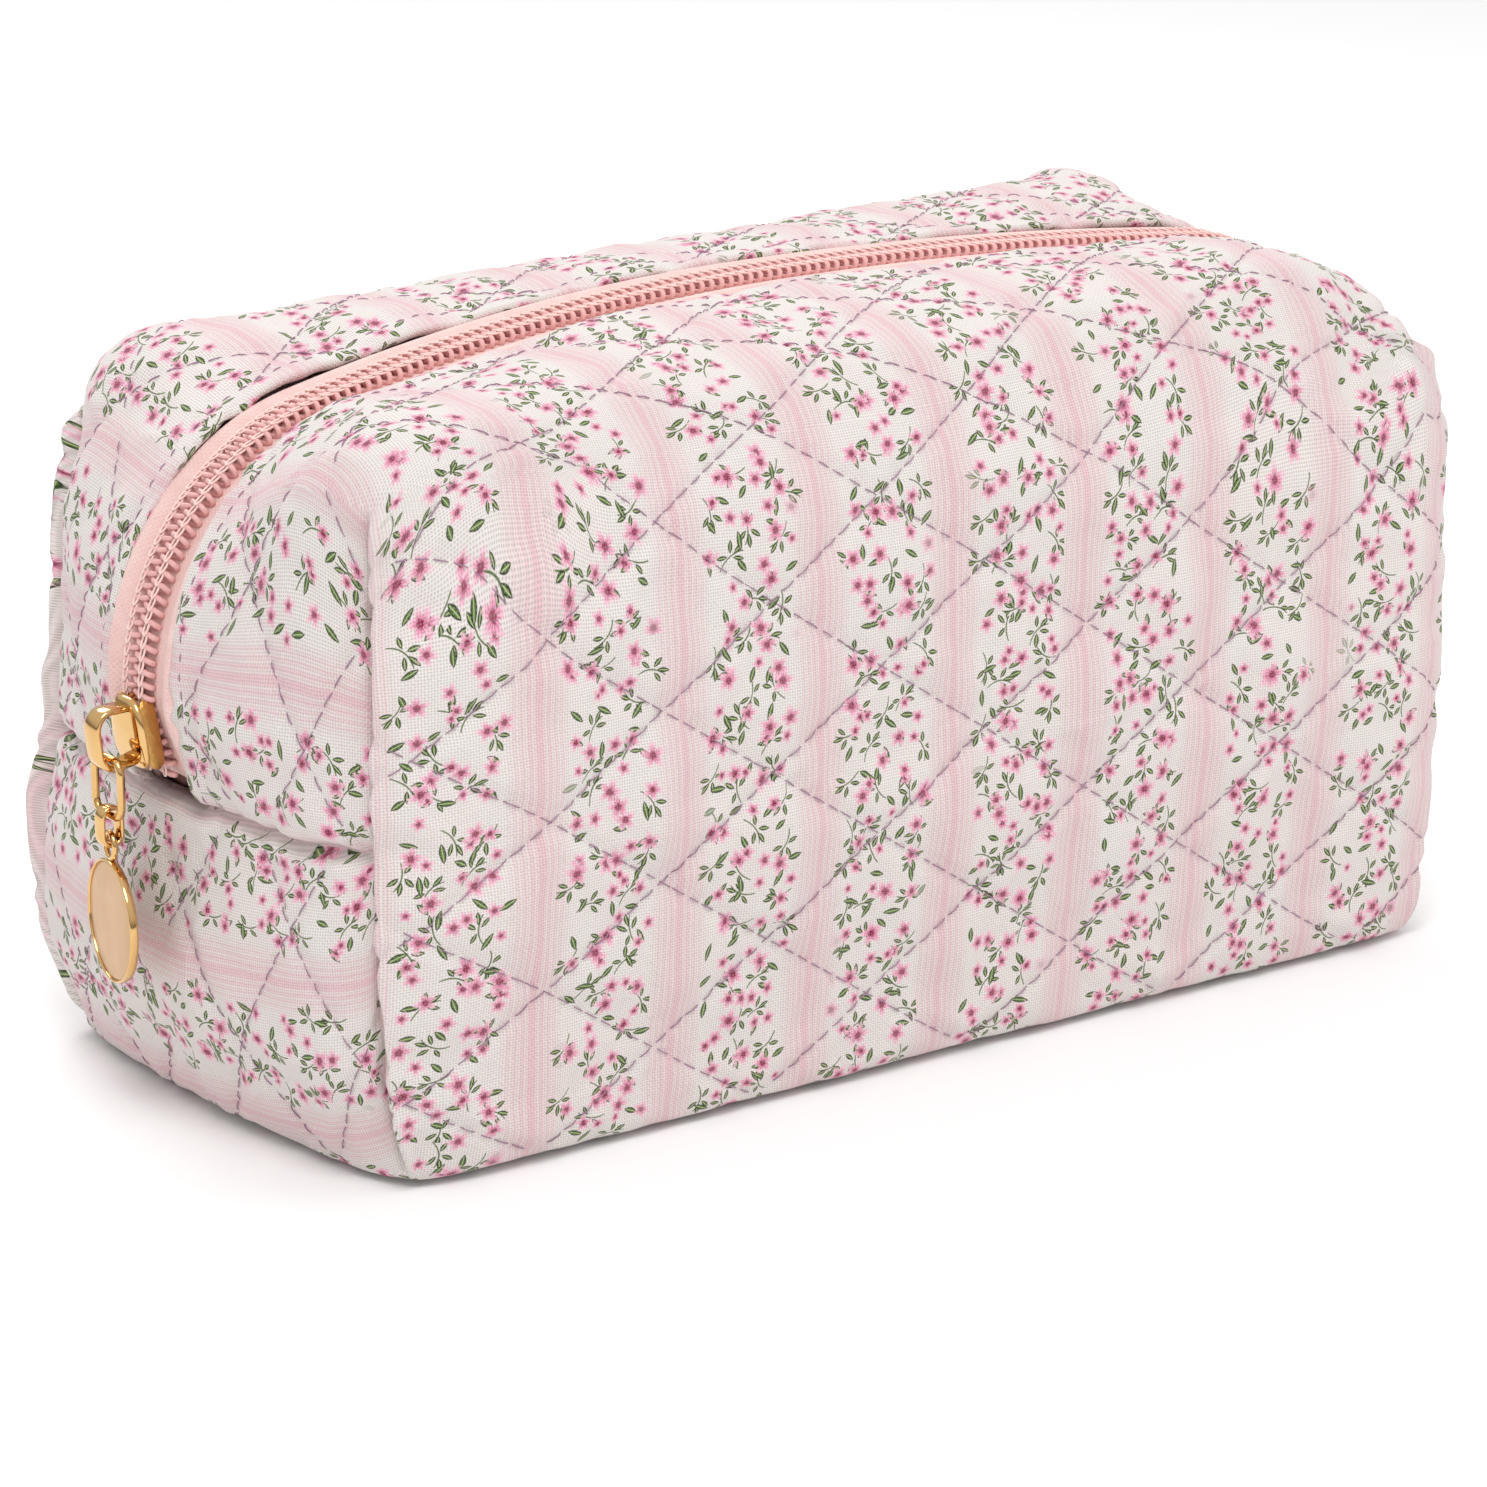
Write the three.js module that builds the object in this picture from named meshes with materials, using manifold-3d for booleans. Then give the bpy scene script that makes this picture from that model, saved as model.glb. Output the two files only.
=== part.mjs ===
// Quilted cotton zip pouch with boxed corners: a soft bag whose zip runs over the whole top and down to
// the middle of both ends. Millimetres, +Z up, +X along the bag, front face towards -Y, origin at the
// middle of the base. The front upper quarter is a separate lip, because it folds out when the zip is open.
import * as THREE from 'three';
import { mergeVertices } from 'three/addons/utils/BufferGeometryUtils.js';
import Module from 'manifold-3d';

const wasm = await Module();
wasm.setup();

// ---- Driving dimensions -------------------------------------------------------------------------------
const GAP = 0.3; // air kept between neighbouring pieces

const bag = {
  height: 124, // floor to the top of the crown
  halfDepth: 57, // widest half depth, at widestZ
  widestZ: 55,
  baseHalfDepth: 53,
  baseHalfLength: 112,
  bulgeHalfLength: 119.5, // lower bulge of the ends, at bulgeZ
  bulgeZ: 26,
  seamHalfLength: 116.6, // the end seam pinches the ends in, at seamZ
  seamZ: 54,
  cornerX: 77, // centre and radius of the round top corners, seen from the front
  cornerZ: 71,
  cornerR: 44.5,
  endCrown: 6, // how much further the middle of an end stands out than its vertical seams
  topExponent: 5, // roundness of the front-to-top edge, seen from the end
  planExponent: 14, // boxiness of a level section
  footRise: 9, // rounding where the walls meet the base
  footInset: 3.5,
  centreZ: 50,
};

const layers = { cloth: 1.0, wadding: 2.6, lining: 0.8, binding: 1.6 };

const zip = {
  slitHalf: 8.3, // half the opening between the folded cloth edges
  chainGap: 0.65, // half the dark gap between the two coils
  coilHalf: 3.9,
  tapeHalf: 8.0,
  coilDeep: 2.3,
  tapeDeep: 0.8,
  stretchTop: 10, // degrees above cornerZ up to which the front chain stays with the body
};

const lip = { splitZ: 57 }; // level where the folding front quarter begins

// How far the inside bindings reach round the vertical seams and along the end seams.
const bindingBox = { x: 94, y: 36, top: 98, bottom: 12, endHalf: 34, endX: 104, endLow: 49 };

const slider = {
  rest: -7.1, // degrees round the top corner, where it sits when the zip is closed
  halfAngle: 7.7, // half its length, as an angle round the corner
  halfWidth: 5,
  topPlate: 1.5,
  bottomPlate: 1.4,
  flangeWide: 0.75,
  flangeDeep: 2.5,
  postHalf: 0.35,
  bailHalfTall: 5.3,
  bailProud: 6.3,
  bailWire: 1.2,
  bailWide: 3,
  bailRound: 2.4,
  tapeClear: 0.7, // air between the tape and the bottom plate
};

const ring = { wire: 1.3, wide: 9.5, tall: 10.7, cornerR: 2.3, taper: 0.2 };
const band = { wide: 2.6, thick: 0.8, outerWide: 4.2, outerTall: 6.9 };
const tag = {
  radius: 10,
  thick: 1.3,
  chamfer: 0.5,
  eyeletR: 2.1,
  eyeletWire: 1.0,
  eyeletHang: 0.6, // how far the eyelet's centre hangs below the band it is threaded on
  turn: -11, // degrees about the vertical
};

const rad = THREE.MathUtils.degToRad;
const layerDepth = {
  cloth: [0, layers.cloth],
  wadding: [layers.cloth + GAP, layers.cloth + GAP + layers.wadding],
};
layerDepth.lining = [layerDepth.wadding[1] + GAP, layerDepth.wadding[1] + GAP + layers.lining];
layerDepth.binding = [layerDepth.lining[1] + GAP, layerDepth.lining[1] + GAP + layers.binding];

// ---- Materials ----------------------------------------------------------------------------------------
const finish = (color, roughness, metalness = 0) =>
  new THREE.MeshStandardMaterial({ color, roughness, metalness });
const cottonLook = finish('#f1e6e3', 0.9);
const waddingLook = finish('#f7f5f1', 0.95);
const liningLook = finish('#f2d5d6', 0.85);
const tapeLook = finish('#ecb7ad', 0.85);
const coilLook = finish('#dd9a94', 0.45);
const bindingLook = finish('#f4c9c6', 0.85);
const goldLook = finish('#d9a75b', 0.25, 1);
const satinGoldLook = finish('#c9a682', 0.4, 1);

// ---- Solids -------------------------------------------------------------------------------------------
function toSolid(geometry) {
  const bare = geometry.clone();
  bare.deleteAttribute('normal');
  bare.deleteAttribute('uv');
  const merged = mergeVertices(bare, 1e-4);
  return new wasm.Manifold(new wasm.Mesh({
    numProp: 3,
    vertProperties: Float32Array.from(merged.attributes.position.array),
    triVerts: Uint32Array.from(merged.index.array),
  }));
}

function toGeometry(solid) {
  const mesh = solid.getMesh();
  const geometry = new THREE.BufferGeometry();
  geometry.setAttribute('position', new THREE.BufferAttribute(mesh.vertProperties.slice(), 3));
  geometry.setIndex(new THREE.BufferAttribute(mesh.triVerts.slice(), 1));
  return geometry;
}

function piece(name, material, geometry) {
  const mesh = new THREE.Mesh(geometry, material);
  mesh.name = name;
  return mesh;
}

// An axis-aligned block between two corners.
function block(low, high) {
  const size = high.map((value, i) => value - low[i]);
  const geometry = new THREE.BoxGeometry(...size);
  geometry.translate(...low.map((value, i) => value + size[i] / 2));
  return toSolid(geometry);
}

// A shape drawn in X and Z, extruded along Y from y0 to y1.
function slab(shape, y0, y1, curveSegments) {
  const geometry = new THREE.ExtrudeGeometry(shape, { depth: y1 - y0, bevelEnabled: false, curveSegments });
  geometry.rotateX(Math.PI / 2);
  geometry.translate(0, y1, 0);
  return geometry;
}

// ---- The bag's surface --------------------------------------------------------------------------------
// Seen from the front, the top is one large crown arc that meets both corner arcs smoothly.
const rise = bag.height - bag.cornerZ;
const crownR = (bag.cornerX ** 2 + rise ** 2 - bag.cornerR ** 2) / (2 * (rise - bag.cornerR));
const crownZ = bag.height - crownR;
const joinAngle = Math.atan2(bag.cornerZ - crownZ, bag.cornerX); // where crown and corner meet
const joinZ = bag.cornerZ + bag.cornerR * Math.sin(joinAngle);

const ease = (t) => t * t * (3 - 2 * t);
const between = (z, z0, z1, a, b) => a + (b - a) * ease((z - z0) / (z1 - z0));

function footInset(z) {
  if (z >= bag.footRise) return 0;
  const t = 1 - z / bag.footRise;
  return bag.footInset * (1 - Math.sqrt(1 - t * t));
}

function halfLength(z) {
  const cornerEdge = bag.cornerX + bag.cornerR;
  if (z > joinZ) return Math.sqrt(Math.max(crownR ** 2 - (z - crownZ) ** 2, 0));
  if (z > bag.cornerZ) return bag.cornerX + Math.sqrt(bag.cornerR ** 2 - (z - bag.cornerZ) ** 2);
  if (z > bag.seamZ) return between(z, bag.seamZ, bag.cornerZ, bag.seamHalfLength, cornerEdge);
  if (z > bag.bulgeZ) return between(z, bag.bulgeZ, bag.seamZ, bag.bulgeHalfLength, bag.seamHalfLength);
  return between(z, 0, bag.bulgeZ, bag.baseHalfLength, bag.bulgeHalfLength) - footInset(z);
}

function halfDepth(z) {
  if (z <= bag.widestZ) {
    return between(z, 0, bag.widestZ, bag.baseHalfDepth, bag.halfDepth) - footInset(z);
  }
  const t = (z - bag.widestZ) / (bag.height - bag.widestZ);
  return bag.halfDepth * Math.max(1 - t ** bag.topExponent, 0) ** (1 / bag.topExponent);
}

function inside(x, y, z) {
  if (z < 0 || z > bag.height) return false;
  const depth = Math.abs(y) / halfDepth(z);
  if (depth >= 1) return false;
  const length = Math.abs(x) / (halfLength(z) - bag.endCrown * depth ** 2);
  return length ** bag.planExponent + depth ** bag.planExponent < 1;
}

const FAR = 200; // beyond the bag in every direction
const HALVINGS = 40; // enough to place a point to a millionth of a millimetre

// The closed outer surface: a divided box whose points are pushed out along rays from the bag's centre.
function outerSurface() {
  const size = [2 * bag.seamHalfLength, 2 * bag.baseHalfDepth, 2 * bag.seamZ];
  const divisions = [12, 7, 10];
  const geometry = new THREE.BoxGeometry(...size, ...divisions);
  geometry.deleteAttribute('normal');
  geometry.deleteAttribute('uv');
  const merged = mergeVertices(geometry, 1e-3);
  const points = merged.attributes.position;
  const ray = new THREE.Vector3();
  for (let i = 0; i < points.count; i += 1) {
    ray.fromBufferAttribute(points, i).normalize();
    let near = 0;
    let far = FAR;
    for (let step = 0; step < HALVINGS; step += 1) {
      const reach = (near + far) / 2;
      if (inside(ray.x * reach, ray.y * reach, bag.centreZ + ray.z * reach)) near = reach;
      else far = reach;
    }
    points.setXYZ(i, ray.x * near, ray.y * near, Math.max(bag.centreZ + ray.z * near, 0));
  }
  snapBase(points);
  merged.computeVertexNormals();
  return merged;
}

// Points within a hair of the floor lie exactly on it.
function snapBase(points) {
  for (let i = 0; i < points.count; i += 1) {
    if (points.getZ(i) < 1e-3) points.setZ(i, 0);
  }
}

const surface = outerSurface();

// The surface moved inwards by a depth, as a solid.
function inset(depth) {
  const geometry = surface.clone();
  const points = geometry.attributes.position;
  const normals = geometry.attributes.normal;
  for (let i = 0; i < points.count; i += 1) {
    points.setXYZ(
      i,
      points.getX(i) - depth * normals.getX(i),
      points.getY(i) - depth * normals.getY(i),
      points.getZ(i) - depth * normals.getZ(i),
    );
  }
  return toSolid(geometry);
}

const shell = ([outer, inner]) => inset(outer).subtract(inset(inner));

// ---- Cloth, wadding and lining ------------------------------------------------------------------------
const notBody = block([-FAR, -FAR, lip.splitZ], [FAR, zip.slitHalf, FAR]);
const lipOnly = block([-FAR, -FAR, lip.splitZ + GAP], [FAR, -zip.slitHalf, FAR]);
const bodyShell = (depths) => toGeometry(shell(depths).subtract(notBody));
const lipShell = (depths) => toGeometry(shell(depths).intersect(lipOnly));

// A strip of binding inside the bag, cut out of the layer under the lining.
function bindingStrip(low, high) {
  return toGeometry(shell(layerDepth.binding).intersect(block(low, high)));
}

function cornerBinding(sideX, sideY, z0, z1) {
  const xs = [sideX * bindingBox.x, sideX * FAR].sort((a, b) => a - b);
  const ys = [sideY * bindingBox.y, sideY * FAR].sort((a, b) => a - b);
  return bindingStrip([xs[0], ys[0], z0], [xs[1], ys[1], z1]);
}

function endBinding(sideX) {
  const xs = [sideX * bindingBox.endX, sideX * FAR].sort((a, b) => a - b);
  const top = lip.splitZ - GAP;
  return bindingStrip([xs[0], -bindingBox.endHalf, bindingBox.endLow], [xs[1], bindingBox.endHalf, top]);
}

// ---- Zip ----------------------------------------------------------------------------------------------
const lowestAngle = Math.asin((lip.splitZ + GAP - bag.cornerZ) / bag.cornerR);
const stretchAngle = rad(zip.stretchTop);
const stretchBreak = GAP / (bag.cornerR - zip.coilDeep - zip.tapeDeep - GAP); // the gap, as an angle
const ARC_STEPS = 10;

// A band that follows the left corner, crown and right corner between two depths under the surface.
function fullBand([outer, inner], startAngle) {
  const shape = new THREE.Shape();
  const cornerOut = bag.cornerR - outer;
  const cornerIn = bag.cornerR - inner;
  const { cornerX, cornerZ } = bag;
  const flip = Math.PI;
  shape.absarc(-cornerX, cornerZ, cornerOut, flip - startAngle, flip - joinAngle, true);
  shape.absarc(0, crownZ, crownR - outer, flip - joinAngle, joinAngle, true);
  shape.absarc(cornerX, cornerZ, cornerOut, joinAngle, startAngle, true);
  shape.absarc(cornerX, cornerZ, cornerIn, startAngle, joinAngle, false);
  shape.absarc(0, crownZ, crownR - inner, joinAngle, flip - joinAngle, false);
  shape.absarc(-cornerX, cornerZ, cornerIn, flip - joinAngle, flip - startAngle, false);
  return shape;
}

// A piece of ring round the left corner, drawn about the corner's own centre.
function sector(innerR, outerR, fromAngle, toAngle) {
  const shape = new THREE.Shape();
  shape.absarc(0, 0, outerR, Math.PI - fromAngle, Math.PI - toAngle, true);
  shape.absarc(0, 0, innerR, Math.PI - toAngle, Math.PI - fromAngle, false);
  return shape;
}

const coilDepth = [0, zip.coilDeep];
const tapeDepth = [zip.coilDeep + GAP, zip.coilDeep + GAP + zip.tapeDeep];

function endStretch([outer, inner], y0, y1, sideX) {
  const outline = sector(bag.cornerR - inner, bag.cornerR - outer, lowestAngle, stretchAngle - stretchBreak);
  const geometry = slab(outline, y0, y1, 6);
  geometry.translate(-bag.cornerX, 0, bag.cornerZ);
  if (sideX > 0) {
    geometry.rotateZ(Math.PI);
    geometry.translate(0, y0 + y1, 0);
  }
  return geometry;
}

// ---- Slider and pull, drawn about the centre of the left top corner ------------------------------------
const plateR = bag.cornerR + GAP; // underside of the slider's top plate
const plateTopR = plateR + slider.topPlate;
const underR = bag.cornerR - tapeDepth[1] - slider.tapeClear; // top of the bottom plate

function sliderBody() {
  const half = rad(slider.halfAngle);
  const width = slider.halfWidth;
  const steps = 5;
  const plate = (r0, r1) => toSolid(slab(sector(r0, r1, -half, half), -width, width, steps));
  const flangeShape = sector(plateR - slider.flangeDeep, plateTopR - 0.2, -half * 0.9, half * 0.9);
  const postShape = sector(underR - 0.5, plateR + 0.5, half * 0.3, half * 0.9);
  const flange = (side) => toSolid(slab(
    flangeShape,
    side > 0 ? width - slider.flangeWide : -width,
    side > 0 ? width : slider.flangeWide - width,
    steps,
  ));
  return toGeometry(
    plate(plateR, plateTopR)
      .add(plate(underR - slider.bottomPlate, underR))
      .add(flange(1))
      .add(flange(-1))
      .add(toSolid(slab(postShape, -slider.postHalf, slider.postHalf, steps))),
  );
}

// The arch that the pull hangs in: a strap with rounded shoulders, open towards both long sides.
function sliderBail() {
  const foot = -plateTopR - GAP;
  const crest = foot - slider.bailProud;
  const tall = slider.bailHalfTall;
  const wire = slider.bailWire;
  const round = slider.bailRound;
  const outline = new THREE.Shape();
  outline.moveTo(foot, -tall);
  outline.lineTo(crest + round, -tall);
  outline.quadraticCurveTo(crest, -tall, crest, -tall + round);
  outline.lineTo(crest, tall - round);
  outline.quadraticCurveTo(crest, tall, crest + round, tall);
  outline.lineTo(foot, tall);
  outline.lineTo(foot, tall - wire);
  outline.lineTo(crest + round, tall - wire);
  outline.quadraticCurveTo(crest + wire, tall - wire, crest + wire, tall - round);
  outline.lineTo(crest + wire, -tall + round);
  outline.quadraticCurveTo(crest + wire, -tall + wire, crest + round, -tall + wire);
  outline.lineTo(foot, -tall + wire);
  return slab(outline, -slider.bailWide / 2, slider.bailWide / 2, 4);
}

// A wire ring with straight sides and round corners, standing in the Y-Z plane about the origin.
function wireRing(halfWide, halfTall, cornerR, wireR, taper, segments) {
  const geometry = new THREE.TorusGeometry(cornerR, wireR, 8, segments);
  geometry.rotateZ(Math.PI / segments);
  geometry.rotateY(Math.PI / 2);
  const points = geometry.attributes.position;
  for (let i = 0; i < points.count; i += 1) {
    const z = points.getZ(i) + Math.sign(points.getZ(i)) * (halfTall - cornerR);
    const y = points.getY(i) + Math.sign(points.getY(i)) * (halfWide - cornerR);
    const down = 0.5 - z / (2 * halfTall);
    points.setXYZ(i, points.getX(i), y * (1 - taper * down), z);
  }
  return geometry;
}

const ringHalf = { wide: (ring.wide - ring.wire) / 2, tall: (ring.tall - ring.wire) / 2 };

function bandLoop() {
  const stadium = (Path, wide, tall) => {
    const r = wide / 2;
    const straight = tall / 2 - r;
    const path = new Path();
    path.absarc(0, straight, r, 0, Math.PI, false);
    path.absarc(0, -straight, r, Math.PI, 2 * Math.PI, false);
    return path;
  };
  const outline = stadium(THREE.Shape, band.outerWide, band.outerTall);
  const { outerWide, outerTall, thick } = band;
  outline.holes.push(stadium(THREE.Path, outerWide - 2 * thick, outerTall - 2 * thick));
  return slab(outline, -band.wide / 2, band.wide / 2, 8);
}

// The round tag with its eyelet, about the eyelet's centre: its faces look along X before it is turned.
function tagDisc() {
  const { radius, thick, chamfer, eyeletR, eyeletWire } = tag;
  const edge = thick / 2;
  const profile = [
    [0, -edge], [radius - chamfer, -edge], [radius, -edge + chamfer / 2],
    [radius, edge - chamfer / 2], [radius - chamfer, edge], [0, edge],
  ].map(([x, y]) => new THREE.Vector2(x, y));
  const disc = new THREE.LatheGeometry(profile, 32);
  disc.rotateZ(Math.PI / 2);
  disc.translate(0, 0, -(radius + eyeletR + eyeletWire / 4));
  const eyelet = new THREE.TorusGeometry(eyeletR, eyeletWire / 2, 8, 20);
  eyelet.rotateY(Math.PI / 2);
  const geometry = toGeometry(toSolid(disc).add(toSolid(eyelet)));
  geometry.rotateZ(rad(tag.turn));
  return geometry;
}

// ---- Assembly -----------------------------------------------------------------------------------------
const group = new THREE.Group();
const add = (name, material, geometry) => group.add(piece(name, material, geometry));

add('outer_body', cottonLook, bodyShell(layerDepth.cloth));
add('wadding_body', waddingLook, bodyShell(layerDepth.wadding));
add('lining_body', liningLook, bodyShell(layerDepth.lining));
add('outer_lip', cottonLook, lipShell(layerDepth.cloth));
add('wadding_lip', waddingLook, lipShell(layerDepth.wadding));
add('lining_lip', liningLook, lipShell(layerDepth.lining));

const sides = { left: -1, right: 1 };
for (const [side, x] of Object.entries(sides)) {
  const { bottom, top } = bindingBox;
  const split = lip.splitZ;
  add(`end_binding_${side}`, bindingLook, endBinding(x));
  add(`corner_binding_back_${side}`, bindingLook, cornerBinding(x, 1, bottom, top));
  add(`corner_binding_front_lower_${side}`, bindingLook, cornerBinding(x, -1, bottom, split - GAP));
  add(`corner_binding_front_upper_${side}`, bindingLook, cornerBinding(x, -1, split + GAP, top));
}

const coilY = [zip.chainGap, zip.coilHalf];
const tapeY = [zip.chainGap, zip.tapeHalf];
const front = ([near, far]) => [-far, -near];
add('zip_coil_back', coilLook, slab(fullBand(coilDepth, lowestAngle), ...coilY, ARC_STEPS));
add('zip_tape_back', tapeLook, slab(fullBand(tapeDepth, lowestAngle), ...tapeY, ARC_STEPS));
add('zip_coil_front', coilLook, slab(fullBand(coilDepth, stretchAngle), ...front(coilY), ARC_STEPS));
add('zip_tape_front', tapeLook, slab(fullBand(tapeDepth, stretchAngle), ...front(tapeY), ARC_STEPS));
for (const [side, x] of Object.entries(sides)) {
  add(`zip_coil_front_end_${side}`, coilLook, endStretch(coilDepth, ...front(coilY), x));
  add(`zip_tape_front_end_${side}`, tapeLook, endStretch(tapeDepth, ...front(tapeY), x));
}

// The slider's own frame turns about the corner's centre, and the pull hangs plumb from the bail.
const sliderFrame = new THREE.Group();
sliderFrame.position.set(-bag.cornerX, 0, bag.cornerZ);
sliderFrame.rotation.y = rad(slider.rest);
sliderFrame.add(piece('slider_body', goldLook, sliderBody()));
sliderFrame.add(piece('slider_bail', goldLook, sliderBail()));
group.add(sliderFrame);
sliderFrame.updateMatrixWorld(true);

const barRoom = slider.bailWire + ring.wire / 2 + 2 * GAP;
const ringBar = new THREE.Vector3(
  -plateTopR - slider.bailProud + barRoom,
  0,
  -slider.bailHalfTall + barRoom,
).applyMatrix4(sliderFrame.matrixWorld);
const lowerBarZ = ringBar.z - 2 * ringHalf.tall;
const bandZ = lowerBarZ + ring.wire / 2 + GAP + band.thick - band.outerTall / 2;
const eyeletZ = bandZ - band.outerTall / 2 + band.thick - tag.eyeletHang;

const pullRing = wireRing(ringHalf.wide, ringHalf.tall, ring.cornerR, ring.wire / 2, ring.taper, 24);
pullRing.translate(ringBar.x, 0, ringBar.z - ringHalf.tall);
const bandPlaced = bandLoop();
bandPlaced.translate(ringBar.x, 0, bandZ);
const tagPlaced = tagDisc();
tagPlaced.translate(ringBar.x, 0, eyeletZ);
add('pull_ring', goldLook, pullRing);
add('band_loop', goldLook, bandPlaced);
add('tag_disc', satinGoldLook, tagPlaced);

export default group;
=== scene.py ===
import math

import bmesh
import bpy
import numpy as np
from mathutils import Matrix, Vector
from mathutils.kdtree import KDTree


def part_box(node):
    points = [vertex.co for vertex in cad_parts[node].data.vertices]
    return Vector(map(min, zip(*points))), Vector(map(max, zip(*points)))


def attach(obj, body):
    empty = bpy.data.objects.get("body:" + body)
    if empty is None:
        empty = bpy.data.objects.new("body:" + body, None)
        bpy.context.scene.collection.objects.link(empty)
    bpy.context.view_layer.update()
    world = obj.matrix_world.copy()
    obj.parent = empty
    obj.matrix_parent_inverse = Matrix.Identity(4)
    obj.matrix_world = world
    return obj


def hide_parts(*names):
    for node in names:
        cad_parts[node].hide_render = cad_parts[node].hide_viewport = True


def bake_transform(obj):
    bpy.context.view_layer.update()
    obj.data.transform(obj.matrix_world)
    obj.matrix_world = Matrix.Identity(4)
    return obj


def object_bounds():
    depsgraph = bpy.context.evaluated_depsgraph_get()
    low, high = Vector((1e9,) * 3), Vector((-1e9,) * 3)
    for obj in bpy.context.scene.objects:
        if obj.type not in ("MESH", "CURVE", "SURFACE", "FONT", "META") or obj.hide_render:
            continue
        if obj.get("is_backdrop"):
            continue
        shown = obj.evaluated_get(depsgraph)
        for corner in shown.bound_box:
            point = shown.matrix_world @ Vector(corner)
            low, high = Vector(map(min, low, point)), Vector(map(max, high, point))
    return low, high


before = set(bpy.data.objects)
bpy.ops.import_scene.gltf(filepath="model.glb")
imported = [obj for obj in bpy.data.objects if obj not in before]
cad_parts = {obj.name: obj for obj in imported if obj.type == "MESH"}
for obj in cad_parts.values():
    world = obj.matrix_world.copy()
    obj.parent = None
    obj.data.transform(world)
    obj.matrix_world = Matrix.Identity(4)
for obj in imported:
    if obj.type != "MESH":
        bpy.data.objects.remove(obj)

# A quilted cotton zip pouch. Lengths below are in millimetres and become metres when a mesh is made.
MM = 0.001
CAD_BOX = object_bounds()

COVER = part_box("outer_body")
HEIGHT = COVER[1][2] / MM
HALF_DEPTH = COVER[1][1] / MM

# The outline in the XZ plane. The slider's end is the rounder one, and the corners differ from front to back.
BASE_HALF_DEPTH, WIDEST_Z = 53.0, 55.0
BULGE_Z, SEAM_Z = 26.0, 54.0
LEFT = {"base": 112.0, "bulge": 119.5, "seam": 116.6, "corner_x": 77.0, "corner_z": 71.0, "corner_r": 44.5,
        "edge": 118.0, "front_r": 22.0, "back_r": 36.0}
RIGHT = {"base": 117.5, "bulge": 118.0, "seam": 115.6, "corner_x": 95.0, "corner_z": 99.0, "corner_r": 19.5,
         "edge": 114.5, "front_r": 40.0, "back_r": 19.0}
EDGE_TOP, EDGE_TILT = 123.6, 0.02
END_CROWN, BACK_LEAN = 5.5, 9.0
TOP_POWER, END_POWER = 5.0, 16.0
FOOT_RISE, FOOT_INSET = 8.0, 2.6
TOP_Z = 124.0
ROUNDING_DEPTH = TOP_Z - WIDEST_Z

# The flat panels before they are filled out: half length, half depth and height between the seams.
PANEL_X, PANEL_Y, PANEL_Z = 108.0, 50.0, 108.0
SLIT = 8.3  # half the opening between the folded edges at the zip
STRIPE_PITCH = 27.0
STRIPE_AT = -2.7
QUILT_U, QUILT_V = 43.0, 28.0
TOPSTITCH = 4.0  # from the folded edge
STITCH_PITCH, STITCH_SEEN = 3.4, 3.05
THREAD_R = 0.105
LINING_INSET = 5.4  # from the face of the cover to the lining


# ---- Camera and studio ---------------------------------------------------------------------------------
def make_camera():
    azimuth, elevation, roll = (math.radians(a) for a in (36.93, 16.25, -0.16))
    distance, target = 964.5, Vector((-2.47, 0.0, 42.21))
    back = Vector((
        -math.sin(azimuth) * math.cos(elevation),
        -math.cos(azimuth) * math.cos(elevation),
        math.sin(elevation),
    ))
    data = bpy.data.cameras.new("camera")
    data.lens, data.sensor_width = 138.0, 36.0
    data.clip_start, data.clip_end = 0.05, 20.0
    camera = bpy.data.objects.new("camera", data)
    right = Vector((math.cos(azimuth), -math.sin(azimuth), 0.0))
    up = back.cross(right)
    turned = Matrix.Rotation(roll, 3, back)
    axes = Matrix((turned @ right, turned @ up, back)).transposed()
    camera.matrix_world = Matrix.Translation((target + distance * back) * MM) @ axes.to_4x4()
    bpy.context.collection.objects.link(camera)
    bpy.context.scene.camera = camera


def area_light(name, place, aim, size, power, colour=(1, 1, 1)):
    data = bpy.data.lights.new(name, "AREA")
    data.shape, data.size, data.energy, data.color = "DISK", size, power, colour
    lamp = bpy.data.objects.new(name, data)
    lamp.location = place
    lamp.rotation_euler = (Vector(aim) - Vector(place)).to_track_quat("-Z", "Y").to_euler()
    bpy.context.collection.objects.link(lamp)


def make_studio():
    world = bpy.data.worlds.new("studio")
    world.use_nodes = True
    g = Graph(world)
    background = world.node_tree.nodes["Background"]
    height = g.split(g.node("ShaderNodeTexCoord").outputs["Generated"])[2]
    up = g.math("ADD", 0.5, g.math("MULTIPLY", height, 0.5))
    below, horizon, low_sky, high_sky = (0.25, 0.24, 0.23), (0.3, 0.29, 0.28), (0.85, 0.85, 0.85), (1, 1, 1)
    sky = g.ramp(up, [(0.46, below), (0.52, horizon), (0.62, low_sky), (0.8, high_sky)])
    g.feed(background.inputs["Color"], sky)
    background.inputs["Strength"].default_value = 0.8
    bpy.context.scene.world = world
    area_light("key", (-0.45, -0.55, 1.15), (0, 0, 0.05), 0.6, 6.2)
    area_light("fill", (0.9, -0.7, 0.5), (0, 0, 0.05), 0.8, 2.5)
    area_light("rim", (0.1, 0.9, 0.9), (0, 0, 0.06), 0.6, 4.5)
    bpy.context.scene.view_settings.view_transform = "Standard"
    half = 4.0
    floor = mesh_object("floor", [(-half, -half, 0), (half, -half, 0), (half, half, 0), (-half, half, 0)],
                        [(0, 1, 2, 3)], scale=1.0)
    floor.location.z = -0.0006
    floor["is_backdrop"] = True
    material = new_material("floor_paper")
    shader = shader_of(material)
    shader.inputs["Base Color"].default_value = (0.96, 0.96, 0.96, 1)
    shader.inputs["Roughness"].default_value = 0.8
    floor.data.materials.append(material)


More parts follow.
